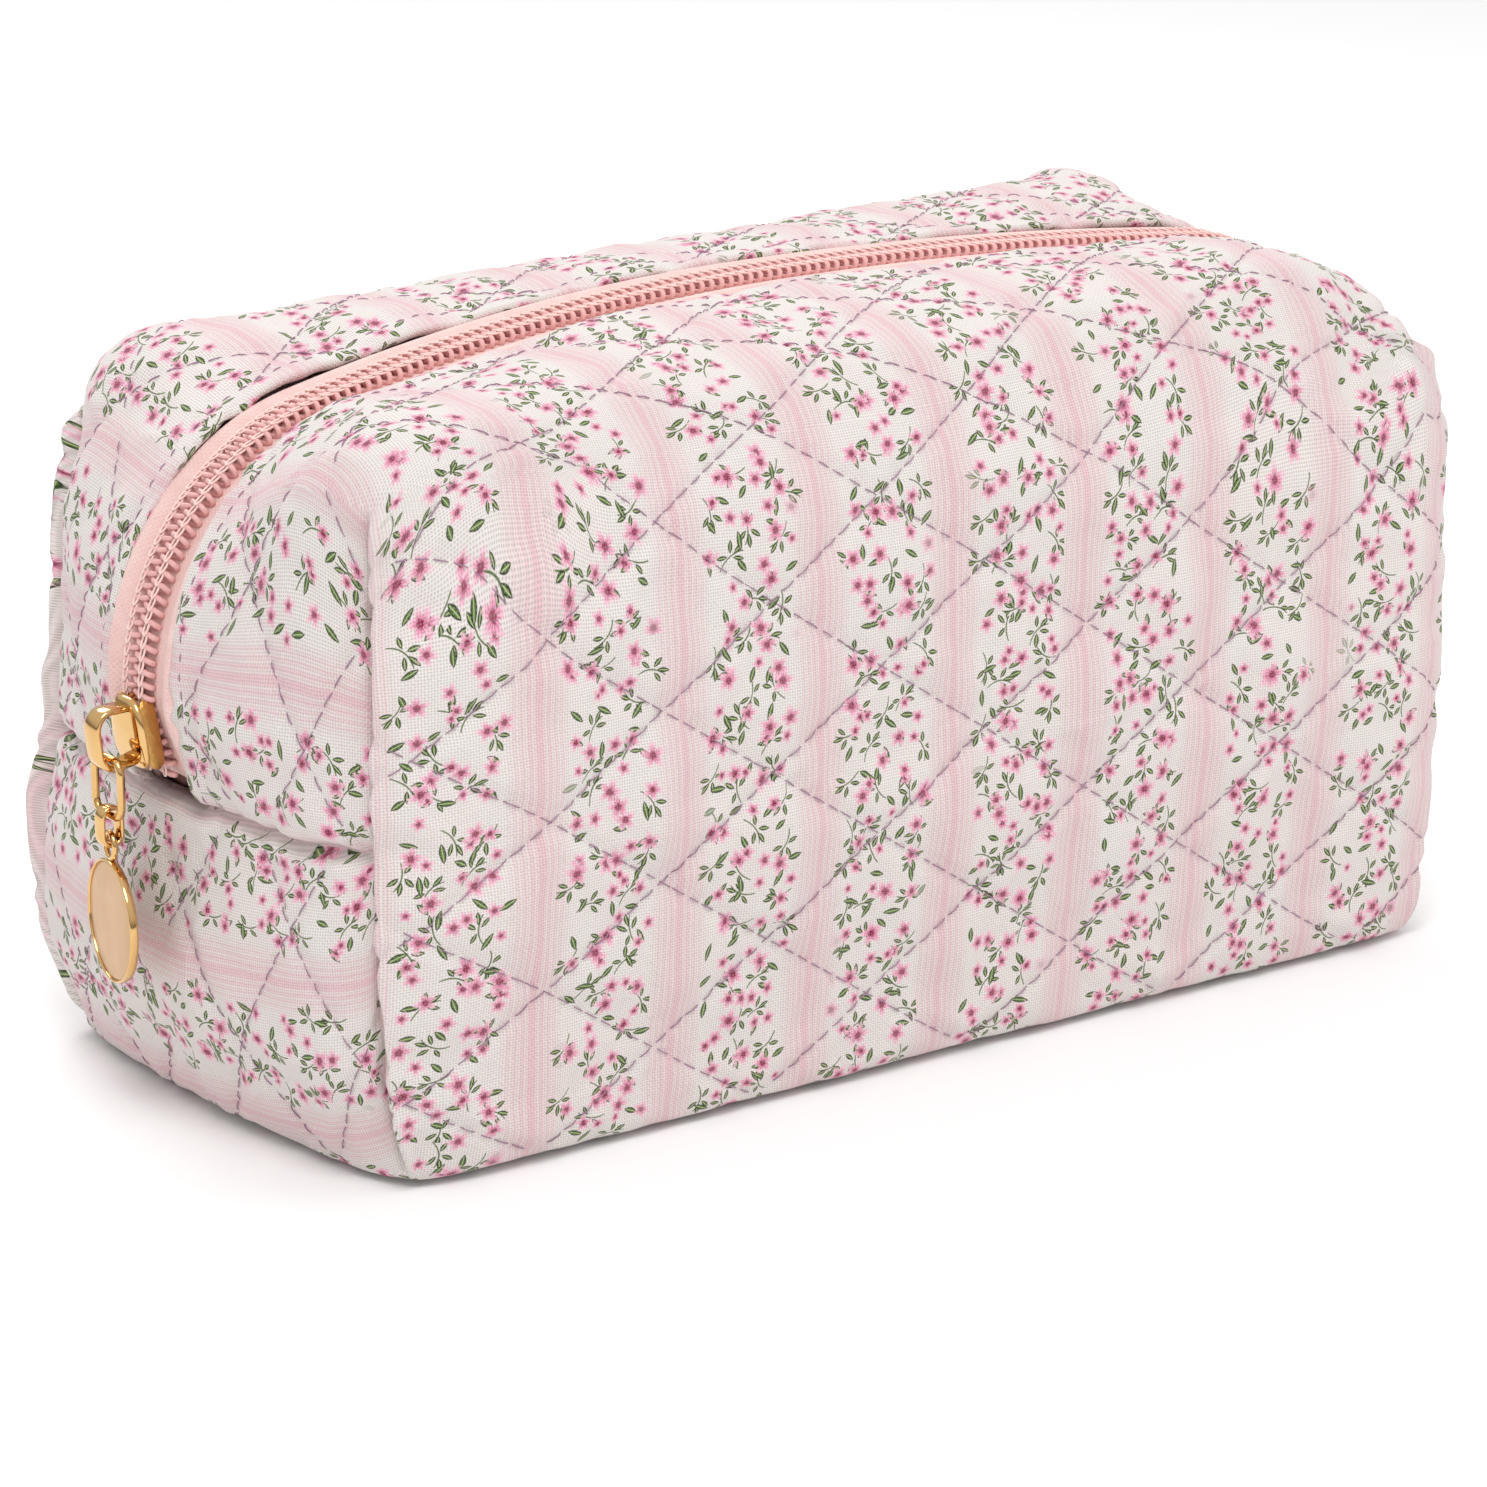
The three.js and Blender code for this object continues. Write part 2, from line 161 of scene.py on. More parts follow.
# ---- Mesh helpers --------------------------------------------------------------------------------------
def mesh_object(name, points, faces, scale=MM, smooth=True):
    mesh = bpy.data.meshes.new(name)
    corners = [tuple(float(c) * scale for c in p) for p in points]
    mesh.from_pydata(corners, [], [tuple(map(int, f)) for f in faces])
    mesh.update()
    if smooth:
        mesh.shade_smooth()
    piece = bpy.data.objects.new(name, mesh)
    bpy.context.collection.objects.link(piece)
    return piece


def coordinates(piece):
    points = np.empty(len(piece.data.vertices) * 3)
    piece.data.vertices.foreach_get("co", points)
    return points.reshape(-1, 3) / MM


def set_coordinates(piece, points):
    piece.data.vertices.foreach_set("co", (points * MM).ravel())
    piece.data.update()


def normals_of(piece):
    out = np.empty(len(piece.data.vertices) * 3)
    piece.data.vertex_normals.foreach_get("vector", out)
    return out.reshape(-1, 3)


def apply_modifiers(piece):
    graph = bpy.context.evaluated_depsgraph_get()
    mesh = bpy.data.meshes.new_from_object(piece.evaluated_get(graph), depsgraph=graph)
    piece.modifiers.clear()
    piece.data = mesh


def sweep(path, radius, sides=8, ups=None, closed=False):
    """Points and faces of a tube along a path; radius is one number or one for each point."""
    path = np.asarray(path, float)
    count = len(path)
    radius = np.broadcast_to(radius, (count,))
    if closed:
        tangents = np.roll(path, -1, 0) - np.roll(path, 1, 0)
    else:
        tangents = np.gradient(path, axis=0)
    tangents /= np.linalg.norm(tangents, axis=1)[:, None]
    guide = np.array([0.3, 0.1, 0.95]) if ups is None else np.asarray(ups, float)
    guide = np.broadcast_to(guide, (count, 3))
    across = np.cross(tangents, guide)
    across /= np.linalg.norm(across, axis=1)[:, None]
    upward = np.cross(across, tangents)
    angles = np.arange(sides) * 2 * np.pi / sides
    rings = path[:, None] + radius[:, None, None] * (
        np.cos(angles)[None, :, None] * across[:, None] + np.sin(angles)[None, :, None] * upward[:, None]
    )
    faces = []
    for i in range(count if closed else count - 1):
        a, b = i * sides, (i + 1) % count * sides
        for j in range(sides):
            k = (j + 1) % sides
            faces.append((a + j, a + k, b + k, b + j))
    if not closed:
        faces.append(tuple(range(sides))[::-1])
        faces.append(tuple((count - 1) * sides + j for j in range(sides)))
    return rings.reshape(-1, 3), faces


def joined(parts):
    """One list of points and faces from several."""
    points, faces, start = [], [], 0
    for part_points, part_faces in parts:
        points.append(np.asarray(part_points, float))
        faces += [tuple(start + v for v in f) for f in part_faces]
        start += len(part_points)
    return np.concatenate(points), faces


# ---- Node helpers --------------------------------------------------------------------------------------
def new_material(name):
    material = bpy.data.materials.new(name)
    material.use_nodes = True
    return material


def shader_of(material):
    return material.node_tree.nodes["Principled BSDF"]


class Graph:
    """Short names for the nodes of one material."""

    def __init__(self, material):
        self.tree = material.node_tree

    def node(self, kind, **settings):
        made = self.tree.nodes.new(kind)
        for key, value in settings.items():
            setattr(made, key, value)
        return made

    def feed(self, socket, value):
        if isinstance(value, bpy.types.NodeSocket):
            self.tree.links.new(value, socket)
        elif isinstance(value, (tuple, list)) and len(value) == 3 and len(socket.default_value) == 4:
            socket.default_value = (*value, 1)
        else:
            socket.default_value = value

    def math(self, operation, *values):
        made = self.node("ShaderNodeMath", operation=operation)
        for socket, value in zip(made.inputs, values):
            self.feed(socket, value)
        return made.outputs[0]

    def vector(self, operation, *values):
        made = self.node("ShaderNodeVectorMath", operation=operation)
        for socket, value in zip(made.inputs, values):
            self.feed(socket, value)
        return made.outputs["Value" if operation in ("LENGTH", "DISTANCE", "DOT_PRODUCT") else "Vector"]

    def mix(self, factor, first, second):
        made = self.node("ShaderNodeMix", data_type="RGBA")
        self.feed(made.inputs["Factor"], factor)
        self.feed(made.inputs[6], first)
        self.feed(made.inputs[7], second)
        return made.outputs[2]

    def ramp(self, value, stops, interpolation="LINEAR"):
        made = self.node("ShaderNodeValToRGB")
        made.color_ramp.interpolation = interpolation
        elements = made.color_ramp.elements
        while len(elements) < len(stops):
            elements.new(0.5)
        for element, (at, colour) in zip(elements, stops):
            element.position = at
            element.color = (*colour, 1) if len(colour) == 3 else colour
        self.feed(made.inputs["Fac"], value)
        return made.outputs["Color"]

    def noise(self, where, scale, detail=2.0, rough=0.5):
        made = self.node("ShaderNodeTexNoise")
        self.feed(made.inputs["Vector"], where)
        made.inputs["Scale"].default_value = scale
        made.inputs["Detail"].default_value = detail
        made.inputs["Roughness"].default_value = rough
        return made.outputs["Fac"]

    def step(self, value, low, high):
        """0 below low, 1 above high, smooth between; low may be above high to turn it over."""
        made = self.node("ShaderNodeMapRange", interpolation_type="SMOOTHSTEP", clamp=True)
        flip = low > high
        self.feed(made.inputs["Value"], value)
        made.inputs["From Min"].default_value = min(low, high)
        made.inputs["From Max"].default_value = max(low, high)
        made.inputs["To Min"].default_value = 1.0 if flip else 0.0
        made.inputs["To Max"].default_value = 0.0 if flip else 1.0
        return made.outputs["Result"]

    def split(self, vector):
        made = self.node("ShaderNodeSeparateXYZ")
        self.feed(made.inputs[0], vector)
        return made.outputs

    def joined(self, x, y, z=0.0):
        made = self.node("ShaderNodeCombineXYZ")
        for socket, value in zip(made.inputs, (x, y, z)):
            self.feed(socket, value)
        return made.outputs[0]

    def bump(self, height, distance, strength=1.0, normal=None):
        made = self.node("ShaderNodeBump")
        made.inputs["Strength"].default_value = strength
        made.inputs["Distance"].default_value = distance
        self.feed(made.inputs["Height"], height)
        if normal is not None:
            self.feed(made.inputs["Normal"], normal)
        return made.outputs["Normal"]

    def uv(self):
        return self.node("ShaderNodeUVMap", uv_map="cloth").outputs["UV"]


def srgb(code):
    values = [int(code[i : i + 2], 16) / 255 for i in (1, 3, 5)]
    return tuple(v / 12.92 if v <= 0.04045 else ((v + 0.055) / 1.055) ** 2.4 for v in values)


# ---- The printed cotton --------------------------------------------------------------------------------
# The cloth UV map holds the place on the flat cloth in centimetres: U along the bag, V round it.
def scattered(g, where, cell, seed, jitter):
    """The nearest point of a loose grid: the vector from it, its own place, and two random numbers."""
    moved = g.vector("ADD", where, (seed * 3.17, seed * 1.93, 0.0))
    cells = g.node("ShaderNodeTexVoronoi", voronoi_dimensions="2D", feature="F1")
    g.feed(cells.inputs["Vector"], moved)
    cells.inputs["Scale"].default_value = 1 / cell
    cells.inputs["Randomness"].default_value = jitter
    place = cells.outputs["Position"]
    random = g.split(cells.outputs["Color"])
    local = g.vector("SUBTRACT", moved, place)
    home = g.vector("SUBTRACT", place, (seed * 3.17, seed * 1.93, 0.0))
    return local, home, random


def off_stripe(g, u):
    """Distance in centimetres from the middle of the nearest stripe."""
    pitch = STRIPE_PITCH / 10
    turns = g.math("FRACT", g.math("DIVIDE", g.math("SUBTRACT", u, STRIPE_AT / 10 - pitch / 2), pitch))
    return g.math("MULTIPLY", g.math("ABSOLUTE", g.math("SUBTRACT", turns, 0.5)), pitch)


def turned(g, vector, angle, shift=0.0):
    made = g.node("ShaderNodeVectorRotate", rotation_type="Z_AXIS")
    g.feed(made.inputs["Vector"], vector)
    g.feed(made.inputs["Angle"], angle)
    parts = g.split(made.outputs[0])
    return g.math("SUBTRACT", parts[0], shift), parts[1]


def flower_layer(g, base, where, grain, cell, seed, size):
    """Five-petalled flowers with a dark middle, painted over base where the floral bands are."""
    local, home, random = scattered(g, where, cell, seed, 0.8)
    in_band = g.step(off_stripe(g, g.split(home)[0]), 0.5, 0.53)
    radius = g.math("MULTIPLY", size, g.math("ADD", 0.62, g.math("MULTIPLY", random[1], 0.5)))
    away = g.math("DIVIDE", g.vector("LENGTH", local), radius)
    ragged = g.math("SUBTRACT", grain, 0.5)
    x, y = turned(g, local, g.math("MULTIPLY", random[0], 6.28))
    angle = g.math("ARCTAN2", y, x)
    lobes = g.math("ABSOLUTE", g.math("COSINE", g.math("MULTIPLY", angle, 2.5)))
    lobed = g.math("ADD", 0.36, g.math("MULTIPLY", lobes, 0.56))
    edge = g.math("ADD", lobed, g.math("MULTIPLY", ragged, 1.1))
    petal = g.math("MULTIPLY", g.step(g.math("SUBTRACT", away, edge), 0.14, -0.16), 0.92)
    filaments = g.math("ABSOLUTE", g.math("COSINE", g.math("ADD", g.math("MULTIPLY", angle, 7.5), 0.6)))
    streaks = g.step(g.math("ADD", filaments, ragged), 0.72, 0.98)
    filaments = g.math("MULTIPLY", streaks, g.step(away, 0.72, 0.3))
    colour = g.mix(g.step(g.math("ADD", away, ragged), 0.25, 0.85), srgb("#E993B1"), srgb("#F6C9D8"))
    colour = g.mix(filaments, colour, srgb("#CC6391"))
    middle = g.step(g.math("ADD", away, g.math("MULTIPLY", ragged, 0.5)), 0.34, 0.2)
    colour = g.mix(middle, colour, srgb("#8E1448"))
    return g.mix(g.math("MULTIPLY", petal, in_band), base, colour)


def leaf(g, base, local, angle, shift, length, width, shown):
    """One pointed leaf with a dark outline and a pale vein."""
    x, y = turned(g, local, angle, shift)
    along = g.math("DIVIDE", x, length)
    half = g.math("MULTIPLY", width, g.math("SUBTRACT", 1.0, g.math("MULTIPLY", along, along)))
    depth = g.math("SUBTRACT", half, g.math("ABSOLUTE", y))
    mask = g.math("MULTIPLY", g.step(depth, -0.008, 0.006), shown)
    inner = g.step(depth, 0.008, 0.026)
    vein = g.step(g.math("ABSOLUTE", y), 0.011, 0.002)
    colour = g.mix(inner, srgb("#1A2C12"), srgb("#50702F"))
    colour = g.mix(g.math("MULTIPLY", vein, inner), colour, srgb("#B9C88F"))
    return g.mix(mask, base, colour)


def leaf_layer(g, base, where, cell, seed, spray):
    """Single leaves, or sprays of four on a thin curved stem."""
    local, home, random = scattered(g, where, cell, seed, 0.8)
    in_band = g.step(off_stripe(g, g.split(home)[0]), 0.5, 0.53)
    angle = g.math("MULTIPLY", random[0], 6.28)
    length = g.math("ADD", 0.115, g.math("MULTIPLY", random[1], 0.05))
    if not spray:
        return leaf(g, base, local, angle, 0.0, length, 0.05, in_band)
    x, y = turned(g, local, angle)
    bend = g.math("SUBTRACT", y, g.math("MULTIPLY", g.math("MULTIPLY", x, x), 1.3))
    on_stem = g.step(g.math("ABSOLUTE", bend), 0.016, 0.007)
    stem = g.math("MULTIPLY", on_stem, g.step(g.math("ABSOLUTE", x), 0.26, 0.24))
    base = g.mix(g.math("MULTIPLY", stem, in_band), base, srgb("#5E7345"))
    for fan, out, long, wide in ((0.0, 0.2, 0.11, 0.038), (0.9, 0.15, 0.1, 0.04), (-0.8, 0.16, 0.1, 0.036),
                                 (2.6, 0.14, 0.09, 0.036)):
        base = leaf(g, base, local, g.math("ADD", angle, fan), out, long, wide, in_band)
    return base


def stripe_colour(g, base, u, grain):
    """A broad soft line with thin lines beside it, and a blush over the whole group."""
    away = g.math("DIVIDE", off_stripe(g, u), 0.55)
    lines = [
        (0.0, 0.95), (0.1, 0.92), (0.16, 0.42), (0.22, 0.38), (0.27, 0.8), (0.33, 0.78), (0.38, 0.34),
        (0.45, 0.32), (0.49, 0.66), (0.54, 0.64), (0.58, 0.28), (0.66, 0.26), (0.7, 0.52), (0.74, 0.5),
        (0.78, 0.18), (0.86, 0.12), (0.89, 0.3), (0.92, 0.1), (1.0, 0.0),
    ]
    strength = g.ramp(away, [(at, (v, v, v)) for at, v in lines])
    worn = g.math("ADD", 0.32, g.math("MULTIPLY", grain, 0.5))
    return g.mix(g.math("MULTIPLY", strength, worn), base, srgb("#E3A3B2"))


def weave(g, where, pitch):
    """Plain weave: how high the threads stand, and how strongly shade is painted into the pinholes between them.
    """
    x, y, _ = g.split(where)
    turn = math.pi / pitch
    waves = [g.math("SINE", g.math("MULTIPLY", along, turn)) for along in (x, y)]
    over = g.math("MULTIPLY", *waves)
    height = g.math("ADD", 0.5, g.math("MULTIPLY", over, 0.5))
    edges = [g.math("ABSOLUTE", g.math("COSINE", g.math("MULTIPLY", along, turn))) for along in (x, y)]
    # Mask for the painted shade in the gaps between the threads.
    pinhole_shade = g.step(g.math("MULTIPLY", *edges), 0.3, 0.95)
    return height, pinhole_shade


def printed_cotton():
    material = new_material("printed_cotton")
    g = Graph(material)
    shader = shader_of(material)
    uv = g.uv()
    u = g.split(uv)[0]
    grain = g.noise(uv, 26.0, 2.0, 0.6)
    drift = g.noise(uv, 0.55, 2.0)
    colour = g.mix(drift, srgb("#E5E1DD"), srgb("#E7DDD9"))
    colour = stripe_colour(g, colour, u, grain)
    colour = leaf_layer(g, colour, uv, 0.68, 3.0, True)
    colour = leaf_layer(g, colour, uv, 0.54, 11.0, False)
    colour = flower_layer(g, colour, uv, grain, 0.6, 5.0, 0.2)
    colour = flower_layer(g, colour, uv, grain, 0.8, 17.0, 0.215)
    height, pinhole_shade = weave(g, uv, 0.046)
    # Painted shade: the pinholes between the threads are darkened towards grey-brown.
    colour = g.mix(g.math("MULTIPLY", pinhole_shade, 0.5), colour, srgb("#9A9088"))
    g.feed(shader.inputs["Base Color"], colour)
    shader.inputs["Roughness"].default_value = 0.86
    shader.inputs["Specular IOR Level"].default_value = 0.25
    shader.inputs["Sheen Weight"].default_value = 0.08
    shader.inputs["Sheen Roughness"].default_value = 0.5
    fine = g.bump(height, 0.00014, 0.7)
    slub = g.bump(g.noise(uv, 6.0, 3.0), 0.0004, 0.3, fine)
    g.feed(shader.inputs["Normal"], slub)
    return material


def plain_cloth(name, code, dark, pitch, rough=0.85):
    material = new_material(name)
    g = Graph(material)
    shader = shader_of(material)
    uv = g.uv()
    height, pinhole_shade = weave(g, uv, pitch)
    colour = g.mix(g.noise(uv, 3.0), srgb(code), srgb(dark))
    # Painted shade: the pinholes between the threads are darkened towards the dark colour.
    colour = g.mix(g.math("MULTIPLY", pinhole_shade, 0.6), colour, srgb(dark))
    g.feed(shader.inputs["Base Color"], colour)
    shader.inputs["Roughness"].default_value = rough
    shader.inputs["Sheen Weight"].default_value = 0.1
    g.feed(shader.inputs["Normal"], g.bump(height, 0.00015, 0.6))
    return material


def nylon(name, code, dark):
    material = new_material(name)
    g = Graph(material)
    shader = shader_of(material)
    where = g.node("ShaderNodeTexCoord").outputs["Object"]
    colour = g.mix(g.noise(where, 700.0), srgb(code), srgb(dark))
    g.feed(shader.inputs["Base Color"], colour)
    shader.inputs["Roughness"].default_value = 0.38
    shader.inputs["Subsurface Weight"].default_value = 0.15
    shader.inputs["Subsurface Radius"].default_value = (0.001, 0.0005, 0.0004)
    g.feed(shader.inputs["Normal"], g.bump(g.noise(where, 2200.0), 0.00005, 0.3))
    return material


def thread(name, code, dark):
    material = new_material(name)
    g = Graph(material)
    shader = shader_of(material)
    where = g.node("ShaderNodeTexCoord").outputs["Object"]
    twist = g.noise(where, 3000.0, 1.0)
    g.feed(shader.inputs["Base Color"], g.mix(twist, srgb(code), srgb(dark)))
    shader.inputs["Roughness"].default_value = 0.6
    g.feed(shader.inputs["Normal"], g.bump(twist, 0.0001, 0.4))
    return material


def gold(name, code, deep, rough, grain_scale, grain_depth):
    material = new_material(name)
    g = Graph(material)
    shader = shader_of(material)
    where = g.node("ShaderNodeTexCoord").outputs["Object"]
    patina = g.noise(where, 160.0, 3.0)
    g.feed(shader.inputs["Base Color"], g.mix(patina, srgb(code), srgb(deep)))
    shader.inputs["Metallic"].default_value = 1.0
    smear = g.noise(where, 420.0, 2.0)
    g.feed(shader.inputs["Roughness"], g.math("ADD", rough - 0.04, g.math("MULTIPLY", smear, 0.1)))
    g.feed(shader.inputs["Normal"], g.bump(g.noise(where, grain_scale, 3.0), grain_depth, 0.5))
    return material


# ---- The cover's surface -------------------------------------------------------------------------------
def ease(t):
    return t * t * (3 - 2 * t)


def between(z, z0, z1, a, b):
    return a + (b - a) * ease(np.clip((z - z0) / (z1 - z0), 0, 1))


def foot_inset(z):
    t = np.clip(1 - z / FOOT_RISE, 0, 1)
    return FOOT_INSET * (1 - np.sqrt(1 - t * t))


def end_reach(z, end):
    """How far an end's middle stands out below its rounded top corner."""
    above_seam = between(z, SEAM_Z, end["corner_z"], end["seam"], end["corner_x"] + end["corner_r"])
    below_seam = between(z, BULGE_Z, SEAM_Z, end["bulge"], end["seam"])
    low = between(z, 0, BULGE_Z, end["base"], end["bulge"]) - foot_inset(z)
    return np.select([z > SEAM_Z, z > BULGE_Z], [above_seam, below_seam], low)


def middle_outline(length, z, end):
    """Signed distance from the outline over the zip: end, round corner and crown, joined tangentially."""
    x0, z0, radius = end["corner_x"], end["corner_z"], end["corner_r"]
    rise = TOP_Z - z0
    crown_r = (x0**2 + rise**2 - radius**2) / (2 * (rise - radius))
    crown_z = TOP_Z - crown_r
    to_crown = np.hypot(length, z - crown_z) - crown_r
    to_corner = np.hypot(length - x0, z - z0) - radius
    on_crown = (z - crown_z) * x0 > (z0 - crown_z) * length
    return np.select([z < z0, on_crown], [length - end_reach(z, end), to_crown], to_corner)


def edge_outline(x, z, end, radius):
    """Signed distance from the squarer outline close to the front and back faces."""
    out = np.abs(x) - np.minimum(end["edge"], end_reach(z, end)) + radius
    up = z - (EDGE_TOP + EDGE_TILT * x) + radius
    return np.hypot(np.maximum(out, 0), np.maximum(up, 0)) + np.minimum(np.maximum(out, up), 0) - radius


def half_depth(z):
    return between(z, 0, WIDEST_Z, BASE_HALF_DEPTH, HALF_DEPTH) - foot_inset(z)


def inside(p):
    """Whether points lie in the filled bag."""
    x, y, z = p[..., 0], p[..., 1], p[..., 2]
    depth = np.clip(np.abs(y) / half_depth(np.clip(z, 0, TOP_Z)), 0, 1)
    lean = BACK_LEAN * between(z, 30, 80, 0, 1) * (y > 0) * (x < 0)
    drawn_in = (END_CROWN + lean) * depth**2 * between(z, 100, TOP_Z, 1, 0)
    length = np.abs(x) + drawn_in
    outwards = np.sign(x) * length
    edge_share = between(np.abs(y), 0, 44, 0, 1)
    distances, top_shares = [], []
    for end in (LEFT, RIGHT):
        middle = middle_outline(length, z, end)
        edge = edge_outline(outwards, z, end, np.where(y < 0, end["front_r"], end["back_r"]))
        distances.append(middle * (1 - edge_share) + edge * edge_share)
        above, beyond = z - end["corner_z"], np.maximum(length - end["corner_x"], 0)
        top_shares.append(np.clip(np.arctan2(above, beyond + 1e-6) / (math.pi / 2), 0, 1))
    deep = -np.where(x < 0, *distances)
    power = END_POWER + (TOP_POWER - END_POWER) * np.where(x < 0, *top_shares)
    share = np.clip(deep / ROUNDING_DEPTH, 0, 1)
    widest = (1 - (1 - share) ** power) ** (1 / power)
    return (deep > 0) & (z >= 0) & (np.abs(y) < half_depth(np.clip(z, 0, TOP_Z)) * widest)


def filled_out(box_points):
    """Points of the flat-panelled box, pushed out along rays from its centre to the bag's surface."""
    centre = np.array([0.0, 0.0, SEAM_Z])
    rays = box_points - centre
    rays = rays / np.linalg.norm(rays, axis=-1, keepdims=True)
    near, far = np.zeros(rays.shape[:-1]), np.full(rays.shape[:-1], 200.0)
    for _ in range(40):
        reach = (near + far) / 2
        within = inside(centre + rays * reach[..., None])
        near, far = np.where(within, reach, near), np.where(within, far, reach)
    out = centre + rays * near[..., None]
    out[..., 2] = np.maximum(out[..., 2], 0)
    return out


def spaced(stops, step):
    """Positions through all the stops, with about step between them."""
    out = [stops[0]]
    for a, b in zip(stops[:-1], stops[1:]):
        count = max(1, round((b - a) / step))
        out += [a + (b - a) * (k + 1) / count for k in range(count)]
    return np.array(out)


def mirrored(stops):
    return sorted({-s for s in stops} | set(stops))


STEP = 2.4
FINE = (0.9, 2.2, 4.2)  # rows beside each seam
LINES_X = spaced(mirrored([PANEL_X] + [PANEL_X - f for f in FINE] + [0.0]), STEP)
HEM_LINES = (0, 1.0, 2.4, TOPSTITCH, 5.6)  # rows beside the folded edge at the zip
LINES_Y = spaced(
    mirrored([0.0, PANEL_Y] + [PANEL_Y - f for f in FINE] + [SLIT + f for f in HEM_LINES]), STEP
)
LINES_Z = spaced([0.0] + sorted([SEAM_Z + f for f in mirrored((0,) + FINE)]) + [PANEL_Z], STEP)


class Panel:
    """A grid on one side of the box, with its places in space and on the flat cloth."""

    def __init__(self, name, first, second, place, front):
        self.name, self.front = name, front
        a, b = np.meshgrid(first, second, indexing="ij")
        self.box = np.stack(np.broadcast_arrays(*place(a, b)), axis=-1).astype(float)
        self.points = filled_out(self.box)
        self.u = np.zeros(a.shape)
        self.v = np.zeros(a.shape)
        self.is_end = name.startswith("end")
        self.is_high = name.startswith("top") or "high" in name


def run_along(points):
    """Distance run along the first axis of a grid of points."""
    steps = np.linalg.norm(np.diff(points, axis=0), axis=-1)
    return np.concatenate([np.zeros((1, points.shape[1])), np.cumsum(steps, axis=0)])


def straightened(values, heights, line_heights, line_values, fade):
    """Values that start as a run along the cloth and come to depend on height alone, fade below the edge."""
    by_height = np.interp(-heights, -line_heights, line_values)
    share = ease(np.clip((heights[:, :1] - heights) / fade, 0, 1))
    return values + (by_height - values) * share


def level_u(panel):
    """The cloth's U: the run from the bag's middle, eased so that the slider's end shows a floral band."""
    run = run_along(panel.points)
    u = run - run[len(run) // 2]
    last_stripe = STRIPE_AT - 3 * STRIPE_PITCH
    return np.where(u < last_stripe, last_stripe + (u - last_stripe) * 0.85, u)


def wrap_panels():
    """The strip of cloth that goes from the zip down the front, under the base and up the back to the zip."""
    x, middle = LINES_X, len(LINES_X) // 2
    strip = []
    for word, side in (("front", -1), ("back", 1)):
        is_front = side < 0
        from_slit = side * LINES_Y[LINES_Y >= SLIT - 1e-6]
        to_middle = side * LINES_Y[LINES_Y >= -1e-6][::-1]
        top = Panel(f"top_{word}", x, from_slit, lambda a, b: (a, b, PANEL_Z), is_front)
        face = Panel(word, x, LINES_Z[::-1], lambda a, b, s=side: (a, s * PANEL_Y, b), is_front)
        base = Panel(f"base_{word}", x, to_middle, lambda a, b: (a, b, 0.0), is_front)
        top.v = SLIT + run_along(top.points.swapaxes(0, 1)).T
        face.v = top.v[:, -1:] + run_along(face.points.swapaxes(0, 1)).T
        heights = face.points[..., 2]
        face.v = straightened(face.v, heights, heights[middle], face.v[middle], 30)
        base.v = face.v[:, -1:] + run_along(base.points.swapaxes(0, 1)).T
        top.u, face.u, base.u = level_u(top), level_u(face), level_u(base)
        strip += [top, face, base]
    whole = strip[2].v[middle, -1] + strip[5].v[middle, -1]
    for panel in strip[3:]:
        panel.v = whole - panel.v
    return strip


def end_panels(wrap):
    """The ends, where the stripes run level: each carries on from the strip's edge that it is sewn to."""
    panels = []
    high_z = LINES_Z[LINES_Z >= SEAM_Z - 1e-6][::-1]
    low_z = LINES_Z[LINES_Z <= SEAM_Z + 1e-6]
    by_name = {panel.name: panel for panel in wrap}
    for side, column in ((-1, 0), (1, -1)):
        for word in ("front", "back"):
            for level, heights, sewn_to in (("high", high_z, "top"), ("low", low_z, "base")):
                edge = by_name[f"{sewn_to}_{word}"]
                ys = edge.box[0, :, 1]
                on_lip = level == "high" and word == "front"
                name = f"end_{level}_{word}_{side}"
                panel = Panel(name, ys, heights, lambda a, b, s=side: (s * PANEL_X, a, b), on_lip)
                panel.u = edge.u[column][:, None] + side * run_along(panel.points.swapaxes(0, 1)).T
                z = panel.points[..., 2]
                if level == "high":
                    panel.u = straightened(panel.u, z, z[0], panel.u[0], 45)
                turned_over = np.sign((edge.v[column][-1] - edge.v[column][0]) * (ys[-1] - ys[0]))
                run = run_along(panel.points)
                inner = np.argmin(np.abs(ys))
                across = panel.points[inner, :, 1] + np.sign(ys[-1] - ys[0]) * (run - run[inner])
                panel.v = edge.v[column][:, None] + turned_over * (across - across[:, :1])
                panels.append(panel)
    return panels


def seam_relief(panel):
    """How far each point stands off the plain surface, from the seams and the zip's hems."""
    box = panel.box
    along_x, along_y = PANEL_X - np.abs(box[..., 0]), PANEL_Y - np.abs(box[..., 1])
    out = np.full(box.shape[:2], -0.6)
    below_top = ease(np.clip((PANEL_Z - 1 - box[..., 2]) / 5, 0, 1))
    upright = below_top * ease(np.clip((box[..., 2] + 1) / 6, 0, 1))
    if panel.name in ("front", "back"):
        out += upright * (1.4 * bell(along_x - 2.0, 2.4) - 6.0 * bell(along_x, 0.6))
        out += 2.0 * bell(along_x - 2.0, 3.5) * bell(box[..., 2] - (PANEL_Z - 4), 3.0)
    if panel.is_end:
        out += upright * (-2.6 * bell(along_y, 7) - 4.0 * bell(along_y, 0.6))
        rise_z = box[..., 2] - SEAM_Z
        out += 0.8 * bell(rise_z - 4, 3) + 0.5 * bell(rise_z + 1.6, 1.2) - 4.0 * bell(rise_z, 0.6)
    if panel.is_high:
        hem = np.abs(box[..., 1]) - SLIT
        out += 0.5 * bell(hem - 1.8, 1.6) - 0.7 * bell(hem - TOPSTITCH, 0.9)
    return out


def bell(distance, width):
    return np.exp(-((distance / width) ** 2))


